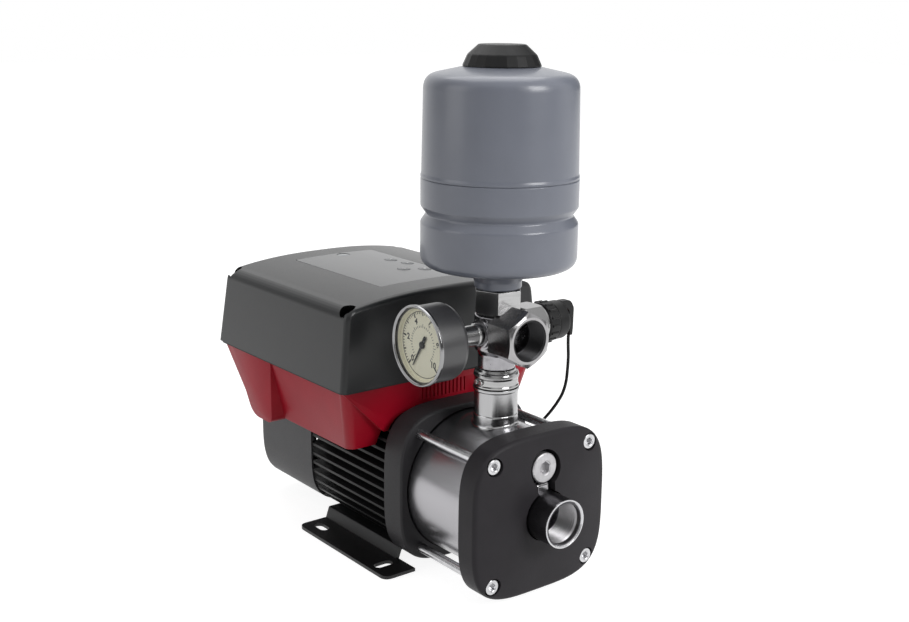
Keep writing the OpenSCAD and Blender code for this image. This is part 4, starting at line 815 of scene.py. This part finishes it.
# %% Press the clip joint
clip = turned("clip_joint", [
    (12.5, 184.6), (15.9, 184.6, 0.4), (16.2, 182.4, 0.6), (18.2, 181.8, 0.6), (18.7, 180.6, 0.8),
    (19.1, 178.6, 1.4), (18.2, 176.6, 1), (18.2, 171.9, 0.8), (18.8, 170.9, 0.5), (18.8, 169.7, 0.4),
    (17.6, 169.3, 0.2), (12.5, 169.3), (12.5, 184.6)], riser, steps=112)
ears = []
for side in (-1, 1):
    for turn in (radians(-9), radians(9)):
        spot = (riser_x + 19 * sin(turn), side * 18.4 * cos(turn) - 1.6, 174.4)
        ears.append(soften(rod("clip_ear", spot, 2.1, 3.2, "Y", 24), 0.5))
clip = join([clip] + ears, "clip_joint")
settle(smooth(clip, 35), "nut_nickel", "union_ring", slot="fitting_nickel")
print("clip joint:", sizes(clip))

# %% [markdown]
# ## The transmitter and its plug
# The transmitter screws into the far branch with a hexagon. Its plug is a moulded
# nut with grip ribs and a flat end, and an arm that turns the lead down.

# %% Turn the transmitter
sensor = hexagon("transmitter_hexagon", centre + Vector((0, 21, 0)), 34, 21.5, "Y", turn=30)
cut_with(sensor, turned("transmitter_neck", [
    (0, 40), (16.2, 40), (16.2, 44.4, 0.3), (0, 44.4)], centre, "Y", 64), "UNION")
settle(soften(sensor, 0.5), "sensor_steel", "transmitter_body")
plug = turned("transmitter_plug_nut", [
    (0, 44.6), (16.6, 44.6, 0.8), (17.3, 46, 0.6), (17.3, 55.4, 0.8), (16, 56.2, 0.4), (16.6, 57.2, 0.6),
    (16.6, 67.5, 2.2), (0, 69.4)], centre, "Y")
rib_count = 16
ribs = []
for k in range(rib_count):
    angle = 2 * pi * k / rib_count
    spot = centre + Vector((17.1 * sin(angle), 46.6, 17.1 * cos(angle)))
    ribs.append(soften(rod("plug_rib", spot, 1.25, 8, "Y", 12), 0.3, 1))
plug = join([plug] + ribs, "transmitter_plug_nut")
settle(smooth(plug, 35), "gland_black", "transmitter_plug")
print("plug ribs:", len(ribs))

# %% [markdown]
# The arm is a flat moulded bracket that comes out of the plug's end, bends down and
# tapers onto the lead. Its side outline is filled and extruded across, and a bevel
# rounds it.

# %% Mould the plug's arm
arm_width = 6.8
arm = slab("plug_arm", rounded([
    (68.2, 231.5, 1), (79, 231.5, 8), (83, 224, 5), (82.6, 206, 1), (81.9, 200, 0.4), (79.1, 200, 0.4),
    (78.2, 207, 1), (77.6, 222, 3), (74, 225.4, 2), (68.2, 225.4, 1)], closed=True),
    "X", riser_x - arm_width / 2, arm_width)
settle(soften(arm, 1.2, 3), "gland_black", "strain_relief", slot="cable_black")
print("arm:", sizes(arm))

# %% [markdown]
# ## The pressure gauge
# A black drawn case, a thin rolled bezel, a flat glass and a cream dial with ticks
# and plain numbers. The gauge faces -Y, so its outlines are spun round the Y axis
# through the fitting's centre. The numbers are text with Blender's own font.

# %% Spin the case and the bezel
case = turned("gauge_case_shell", [
    (9, -43.2), (10.6, -43.2), (22.5, -51, 1), (30, -53.4, 2.6), (31.5, -57, 1.5), (31.5, -80.6),
    (29.7, -80.6), (29.7, -75.2), (0, -75.2)], centre, "Y", 128, bends=5)
settle(smooth(case), "case_black", "gauge_case")
stem = turned("gauge_stem_tube", [
    (0, -19.4), (9.6, -19.4, 0.3), (9.6, -24, 0.3), (8.7, -25, 0.5), (8.7, -41.5, 0.4), (10.2, -42.6, 0.4),
    (10.2, -44), (0, -44)], centre, "Y", 64)
settle(smooth(stem), "nut_nickel", "gauge_stem", slot="fitting_nickel")
bezel = turned("gauge_bezel_ring", [
    (31.6, -79.6, 0.2), (32.7, -79.6, 0.4), (32.8, -81.4, 0.8), (32.1, -82.95, 0.9), (31, -82.7, 0.6),
    (30.2, -81.6, 0.3), (30.2, -81.0, 0.2), (31.6, -80.8)], centre, "Y", 128, bends=5, closed=True)
settle(smooth(bezel, 50), "bezel_chrome", "gauge_bezel")
print("gauge:", sizes(case))

# %% [markdown]
# A dial reads clockwise from its lower left over 270 degrees. Each tick is a thin
# bar of ink, laid along a radius and turned into place. A point on the dial is found
# from its angle, clockwise from straight up, as seen from the front of the gauge.

# %% Print the dial
dial_y, dial_start, dial_sweep = -76.0, -135, 270


def on_dial(angle, radius, lift=0.0):
    """A point on the dial, at an angle clockwise from the top as seen from -Y"""
    return centre + Vector((radius * sin(radians(angle)), dial_y - lift, radius * cos(radians(angle))))


def laid(piece, name, angle, lift):
    """Moves a piece that was made at the origin onto the dial and turns it by an angle"""
    turn = Matrix.Rotation(radians(angle), 4, "Y")
    piece.matrix_world = Matrix.Translation(on_dial(0, 0, lift) * MM) @ turn
    hold(piece)
    return take(name)


def bar(angle, inner, outer, width, thick=0.12):
    """A flat ink mark on the dial along a radius, a little narrower at its outer end"""
    mark = block("tick", (0, 0, (inner + outer) / 2), (width, thick, outer - inner))
    pick(mark, "FACE", lambda c, n: n.z > 0.9)
    bpy.ops.transform.resize(value=(0.8, 1, 1))
    return laid(hold(mark), "tick", angle, thick / 2)


dial = turned("gauge_dial_plate", [
    (1.1, -75.1), (29.6, -75.1), (29.6, -76, 0.3), (1.1, -76), (1.1, -75.1)], centre, "Y", bends=3)
settle(smooth(dial), "dial_cream", "gauge_dial")
wall = turned("dial_wall", [
    (29.3, -75.9), (29.3, -79.2, 0.1), (29.65, -79.2, 0.1), (29.65, -75.9), (29.3, -75.9)],
    centre, "Y", bends=2)
settle(smooth(wall), "dial_cream", "gauge_dial")
ink = []
for k in range(51):
    inner, width = (22.4, 1.5) if k % 10 == 0 else (23.6, 1.2) if k % 5 == 0 else (24.6, 0.65)
    ink.append(bar(dial_start + dial_sweep * k / 50, inner, 26.8, width))
ink += [bar(dial_start + dial_sweep * k / 30, 13.8, 15.6 if k % 5 else 17, 0.5) for k in range(31)]
print("ticks:", len(ink))
hold()
bpy.ops.mesh.primitive_torus_add(
    major_radius=26.7 * MM, minor_radius=0.25 * MM, major_segments=96, minor_segments=6,
    location=on_dial(0, 0) * MM, rotation=(pi / 2, 0, 0))
ink.append(take("tick"))
for k in range(6):
    hold()
    bpy.ops.object.text_add(location=(0, 0, 0))
    text = bpy.context.object.data
    text.body = str(2 * k)
    text.size = 7 * MM
    text.offset = 0.2 * MM
    text.extrude = 0.05 * MM
    text.align_x = text.align_y = "CENTER"
    bpy.ops.object.convert(target="MESH")
    place = Matrix.Translation(on_dial(dial_start + dial_sweep * k / 5, 19.4, 0.06) * MM)
    bpy.context.object.matrix_world = place @ Matrix.Rotation(pi / 2, 4, "X")
    ink.append(take("number"))
settle(join(ink, "dial_print"), "dial_ink", "gauge_dial", slot="dial_cream")
print("pieces of print:", len(ink))

# %% [markdown]
# The pointer is a thin black blade with a counterweight and a turned hub. It
# rides on its own body, so that it can sweep the dial.

# %% Cut the pointer and lay the glass
blade = slab("gauge_pointer_blade", [
    (-1.1, 0), (-0.45, 21.5), (0, 22.6), (0.45, 21.5), (1.1, 0), (1.8, -7), (1.1, -9),
    (-1.1, -9), (-1.8, -7)], "Y", 0, 0.5)
at_rest = 212
laid(soften(blade, 0.08, 1), "gauge_pointer_blade", at_rest, 1.4)
hub = turned("pointer_hub", [
    (0, -73.4), (1, -73.4), (1, -76.3), (3, -76.4, 0.2), (3, -77.8, 0.7), (0, -78.2)], centre, "Y", 40)
pointer = join([blade, smooth(hub)], "gauge_pointer_blade")
settle(pointer, "pointer_black", "gauge_pointer", body="needle")
glass = turned("gauge_window", [
    (0, -79.4), (29.6, -79.4, 0.2), (29.6, -80.8, 0.4), (0, -80.9)], centre, "Y", bends=3)
settle(smooth(glass), "gauge_glass", "gauge_glass")
print("pointer:", sizes(pointer))

# %% [markdown]
# ## The pump end
# The front plate is a casting, bowed on every side and slightly domed. Its outline is
# a rounded square with swelling sides. The face is filled, extruded along the shaft
# and scaled a little after every step, which rounds the edge and draws the dome.

# %% Loft the front plate
shaft_z = 75
shaft = (0, 0, shaft_z)


def swollen(share):
    """A share of a circle's radius, from -1 to 1, drawn out towards a square"""
    return abs(share) ** (2 / 3.8) * (1 if share > 0 else -1)


def bowed(half_y, half_z, steps=96):
    """A square outline with bowed sides, about the shaft"""
    turns = [2 * pi * k / steps for k in range(steps)]
    return [(half_y * swollen(cos(t)), shaft_z + half_z * swollen(sin(t))) for t in turns]


def lofted(name, half_y, half_z, x, steps):
    """A bowed outline at x, extruded along the shaft through steps of (x, half width)"""
    piece = chain(name, [Vector((x, a, b)) * MM for a, b in bowed(half_y, half_z)], face=True)
    for there, half in steps:
        bpy.ops.mesh.extrude_region_move(TRANSFORM_OT_translate={"value": ((there - x) * MM, 0, 0)})
        share = half / half_y
        bpy.ops.transform.resize(value=(1, share, share), center_override=(0, 0, shaft_z * MM))
        x, half_y = there, half
    return outward(piece)


edge = [(171 + 4 * sin(radians(a)), 66 + 4 * cos(radians(a))) for a in range(0, 81, 16)]
dome = [(174.95 + 6 * (1 - (r / 66.7) ** 2), r) for r in (64, 60, 55, 49, 42, 35, 28, 20, 10)]
plate = lofted("pump_front_plate", 68.7, 66.7, 153, [(154.3, 70)] + edge + dome)
print("plate:", sizes(plate))

# %% [markdown]
# The plate has one keyhole for the suction port and the priming boss, a pocket for
# the sleeve at its back, and a stepped hole for each of its four bolts. The cutting
# tools are bars, a block and a lathe piece, so that every hole is round and true.

# %% Cut the keyhole and the bolt holes
boss_z, bolt_reach = 114.6, 50.85
cut_with(plate, rod("port_room", (150, 0, shaft_z), 21.2, 50, "X", 96))
cut_with(plate, rod("boss_room", (150, 0, boss_z), 15.75, 50, "X", 80))
cut_with(plate, block("neck_room", (175, 0, 95), (50, 18, 34)))
cut_with(plate, rod("sleeve_room", (150, 0, shaft_z), 63.8, 11, "X", 128))
bolt_spots = [(y, shaft_z + z) for y in (-bolt_reach, bolt_reach) for z in (-bolt_reach, bolt_reach)]
for y, z in bolt_spots:
    cut_with(plate, turned("bolt_room", [(0, 150), (4.4, 150), (4.4, 167), (7.6, 167), (7.6, 190), (0, 190)],
                           (0, y, z), "X", 48))
settle(soften(plate, 0.7, 3, 38), "plate_paint", "front_plate")
print("plate faces:", len(plate.data.polygons))

# %% [markdown]
# A socket head bolt is one lathe piece with a hexagon sunk into its head. It is
# modelled once and copied to the other three corners, each with a mesh of its own.

# %% Turn one tie bolt and copy it
def copied(piece, name, shift):
    """A copy with a mesh of its own, moved by a shift in mm"""
    twin = piece.copy()
    twin.data = piece.data.copy()
    twin.name = twin.data.name = name
    bpy.context.scene.collection.objects.link(twin)
    hold(twin)
    bpy.ops.transform.translate(value=Vector(shift) * MM)
    bpy.ops.object.transform_apply()
    return twin


first = bolt_spots[0]
bolt = turned("tie_bolt_1", [
    (0, 64), (4, 64, 0.4), (4, 167), (6.5, 167), (6.5, 175, 0.9), (4.1, 175, 0.3), (3.8, 174.6),
    (0, 174.6)], (0, *first), "X", 48, bends=3)
socket_key = 6
cut_with(bolt, rod("socket", (171, *first), socket_key / sqrt(3), 4, "X", 6, 15))
soften(bolt, 0.15, 1, 40)
bolts = [bolt] + [copied(bolt, "tie_bolt_" + str(k + 1), (0, y - first[0], z - first[1]))
                  for k, (y, z) in enumerate(bolt_spots) if k]
for bolt in bolts:
    settle(bolt, "bolt_steel", "tie_bolts")
print("tie bolts:", len(bolts))

# %% [markdown]
# The suction port is welded to the stainless front housing. Its mouth has a thin
# rim, a wide chamfer and a pipe thread, and then the bore runs on into the dark.

# %% Turn the suction port
root = 16.6
port = turned("suction_port", [
    (63.2, 161), (63.2, 163), (20.2, 163), (20.2, 201.9), (17, 201.9), (17, 161), (63.2, 161)],
    shaft, "X", 112)
# the port's steel is painted dark, as a painted reflection of the dark parts round it
settle(smooth(port, 32), "port_steel", "suction_housing")
rim = turned("suction_rim", [
    (20.2, 202), (20.2, 203, 0.3), (19.1, 203, 0.3), (18.2, 201.9), (20.2, 202)], shaft, "X", 112, bends=3)
settle(smooth(rim, 32), "bolt_steel", "suction_housing", slot="port_steel")
lining = turned("suction_thread", [(17, 162), (17, 201.4), (16.9, 198.6)] + thread(
    [179 + pitch * k for k in range(7, -1, -1)], (crest, 2.2), (root, 1.4), (root, 0.9), (crest, 0)) + [
    (crest, 178), (15.2, 177), (15.2, 162), (17, 162)], shaft, "X", 112)
settle(smooth(lining, 32), "inlet_steel", "suction_housing", slot="port_steel")
print("port:", sizes(port))

# %% [markdown]
# The priming boss above it is joined to the port by a web. The web's edges
# are well rounded, as in a pressed sheet. The plug has a turned head with a
# hexagon socket.

# %% Cut the web and turn the boss and the plug
boss_place, plug_key = (0, 0, boss_z), 10
web = slab("priming_web", [(-7.8, 88), (7.8, 88), (7.8, 101.4), (-7.8, 101.4)], "X", 162, 14)
settle(soften(web, 3, 5), "web_steel", "suction_housing", slot="port_steel")
boss = turned("priming_boss", [
    (7.6, 162), (12.75, 162), (12.75, 170, 0.8), (7.6, 170), (7.6, 162)], boss_place, "X", 80)
settle(smooth(boss, 35), "web_steel", "suction_housing", slot="port_steel")
head = turned("priming_plug_head", [
    (0, 158), (7.2, 158, 0.6), (7.2, 171.5), (12.6, 171.5, 0.5), (12.75, 176.6, 0.6), (11.8, 177.5, 0.8),
    (6.5, 177.3, 0.3), (6.1, 176.9), (0, 176.9)], boss_place, "X", 80)
cut_with(head, rod("plug_socket", (172.4, 0, boss_z), plug_key / sqrt(3), 6, "X", 6, 20))
settle(soften(head, 0.2, 2, 40), "cast_steel", "priming_plug", body="plug", slot="bolt_steel")
print("web, boss and plug:", sizes(web), sizes(boss), sizes(head))

# %% [markdown]
# ## The sleeve and its discharge stub
# The sleeve is a steel tube with a fine groove beside the plate. Where the stub rises,
# the tube's wall was pulled up into a collar. That soft saddle is made like the
# forging: a patch of the tube and a column, joined, remeshed and smoothed. It lies
# a hair under the plain tube and the plain stub, and comes out only at the corner.

# %% Turn the sleeve and the stub, and melt the collar
sleeve = turned("pump_outer_sleeve", [
    (61.4, 71.8), (62.9, 71.8, 0.3), (63, 148.4, 0.5), (62.6, 149, 0.4), (63, 149.6, 0.5), (63, 160.8, 0.3),
    (61.4, 160.8), (61.4, 71.8)], shaft, "X", 160)
settle(smooth(sleeve), "sleeve_steel", "pump_sleeve")
stub = turned("discharge_stub", [
    (15.4, 136), (18.7, 136), (18.7, 144, 0.4), (18.3, 144.7, 0.4), (18.3, 165.8, 0.8), (19.3, 166.6, 0.5),
    (19.3, 168.8, 0.4), (15.4, 168.9), (15.4, 136)], riser, steps=112)
settle(smooth(stub), "stub_steel", "pump_sleeve", slot="sleeve_steel")
collar = rod("stub_collar", (riser_x - 32, 0, shaft_z), 62.95, 64, "X", 160)
cut_with(collar, rod("patch", (riser_x, 0, 110), 30, 40), "INTERSECT")
cut_with(collar, rod("column", (riser_x, 0, 120), 18.75, 27, sides=96), "UNION")
settle(melt(collar, 0.8, 14), "stub_steel", "pump_sleeve", slot="sleeve_steel")
print("collar faces:", len(collar.data.polygons))

# %% [markdown]
# ## The check valve's spring
# The spring hangs inside the discharge stub and is pressed together as the poppet
# lifts. It could be a curve with a bevel, but the screw modifier winds a small
# circle of wire straight into a coil. The imported coil is stiff, and this one
# stands for it.

# %% Wind the valve's spring
low_end, high_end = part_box("valve_spring")
wire, turns = 0.9 * MM, 5
coil_r = (high_end.x - low_end.x - wire) / 2
coil_height = high_end.z - low_end.z
hold()
bpy.ops.mesh.primitive_circle_add(
    vertices=8, radius=wire / 2, location=(coil_r, 0, 0), rotation=(pi / 2, 0, 0))
spring = take("valve_spring_coil")
apply_modifier(spring, "SCREW", axis="Z", angle=2 * pi, iterations=turns, steps=24, render_steps=24,
               screw_offset=(coil_height - wire) / turns)
bpy.ops.object.mode_set(mode="EDIT")
bpy.ops.mesh.select_all(action="SELECT")
bpy.ops.mesh.remove_doubles(threshold=0.01 * MM)
bpy.ops.mesh.fill_holes(sides=0)
outward(spring)
spring.location = (riser_x * MM, 0, low_end.z + wire / 2)
bpy.ops.object.transform_apply()
settle(smooth(spring, 60), "spring_steel", "valve_spring")
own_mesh(spring)
print("spring:", sizes(spring), "mm")

# %% [markdown]
# ## The motor's castings and the foot
# The bracket behind the sleeve and the fan cover share the plate's bowed outline. The
# bracket has a seat for the sleeve. The fan cover is a thin moulding: its inside is
# lofted too and taken out, and rows of slots are cut through its end for the air.

# %% Loft the bracket and the fan cover
bracket = lofted("motor_bracket_casting", 68.4, 66.4, 50.5, [
    (50.9, 69.5), (52, 70), (74.4, 70), (75.6, 69.5), (76.3, 68.7), (76.5, 67.8)])
cut_with(bracket, rod("sleeve_seat", (71.5, 0, shaft_z), 63.6, 8, "X", 128))
settle(soften(bracket, 0.6, 3, 38), "bracket_black", "motor_bracket", slot="motor_black")
thickness, row_pitch, slot_field = 2, 9, 48
back_edge = [(-165.5 - 10 * sin(radians(a)), 53 + 10 * cos(radians(a))) for a in range(0, 91, 15)]
fan_cover = lofted("fan_cover_shell", 63, 63, -77.5, back_edge)
cut_with(fan_cover, lofted("inside", 61, 61, -70, [
    (x + thickness, half - thickness) for x, half in back_edge]))
for row in range(-5, 6):
    reach = sqrt(slot_field ** 2 - (row_pitch * row) ** 2)
    for side in (-1, 1):
        cut_with(fan_cover, block("slot", (-174.5, side * (reach / 2 + 1), shaft_z + row_pitch * row),
                                  (8, reach - 2, 4.6)))
settle(soften(fan_cover, 0.4, 2, 38), "cover_grey", "fan_cover")
print("bracket and fan cover:", len(bracket.data.polygons), len(fan_cover.data.polygons))

# %% [markdown]
# The foot is one bent sheet of 3 mm steel: a flat wing with two slots on each side,
# and a raised middle with slanted sides that carries the motor. The bent section is
# extruded along the shaft and joined to the wings.

# %% Bend the foot
def pill(name, x, y, length, width, turn):
    """A slot's cutting tool, its long side along X or, turned, along Y"""
    half = (length - width) / 2
    outline = [(half + width / 2 * sin(radians(a)), -width / 2 * cos(radians(a))) for a in range(0, 181, 15)]
    outline += [(-a, -b) for a, b in outline]
    outline = [(x - b, y + a) if turn else (x + a, y + b) for a, b in outline]
    return slab(name, outline, "Z", -1, 8)


riser_out = rounded([(-55.5, 0), (-51, 13, 1.4), (51, 13, 1.4), (55.5, 0)])
riser_in = rounded([(52.3, 0), (48.6, 10, 0.8), (-48.6, 10, 0.8), (-52.3, 0)])
foot = slab("foot_sheet", riser_out + riser_in, "X", -67, 114.5)
for side in (-1, 1):
    inner, outer = 52.5 * side, 84.25 * side
    wing = rounded([(-67, inner), (73, inner), (73, outer, 8), (-67, outer, 8)], 6, True)
    cut_with(foot, slab("wing", wing, "Z", 0, 3), "UNION")
for side in (-1, 1):
    cut_with(foot, pill("slot", 50, 70 * side, 18, 9, True))
    cut_with(foot, pill("slot", -50, 70 * side, 18, 9, False))
settle(soften(foot, 0.45, 2, 38), "foot_black", "foot_plate")
print("foot:", sizes(foot))

# %% [markdown]
# ## Dressing the imported nodes
# A imported node that already has the right shape stays as it is and gets a
# finish. Real parts have no razor edges, so a weld joins the node's triangles, a
# planar dissolve clears the flat faces and a small bevel catches the light. They
# stay live as modifiers, so that the node keeps its own shape; only its faces are
# shaded smooth.

# %% Give every node its finish and its soft edges
def dress(look, edge, *names):
    """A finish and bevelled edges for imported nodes; edge is the bevel's width in mm"""
    for name in names:
        node = frame["nodes"][name]
        for holder in node.material_slots:
            holder.material = finishes[look]
        modify(node, "WELD", merge_threshold=0.01 * MM)
        if edge:
            modify(node, "DECIMATE", decimate_type="DISSOLVE", angle_limit=radians(1))
            modify(node, "BEVEL", width=edge * MM, segments=2, limit_method="ANGLE", angle_limit=radians(35))
        for face in node.data.polygons:
            face.use_smooth = True
        node.data.update()


dress("motor_black", 0.25, "motor_frame")
dress("base_red", 1, "box_base")
dress("gland_black", 0.4, "mains_gland", "sensor_gland")
dress("seal_rubber", 0.1, "box_gasket", "priming_seal", "sleeve_seals", "union_seal", "diaphragm")
dress("bolt_steel", 0.3, "foot_screws")
dress("gland_black", 0.3, "cover_screws")
dress("fan_plastic", 0.3, "cooling_fan")
dress("shield_grey", 0.4, "rear_shield")
dress("core_steel", 0, "stator_core", "rotor_core")
dress("winding_copper", 0, "windings")
dress("shaft_steel", 0.2, "rotor_shaft", "bearing_outers", "bearing_inners", "seal_rotating")
dress("stage_steel", 0, "stage_chambers", "seal_plate", "impellers")
dress("seal_carbon", 0, "seal_stationary")
dress("valve_plastic", 0.2, "valve_cage", "valve_poppet")
dress("valve_brass", 0.2, "air_valve")
dress("board_green", 0, "circuit_board")
print("dressed nodes:", sum(1 for n in frame["nodes"].values() if n.modifiers))

# %% [markdown]
# ## The end
# Last, the sensor cable gets its finish. The visual model has to stay inside
# the imported model's box.

# %% Give the cable its finish
cable.data.materials.append(finishes["cable_black"])
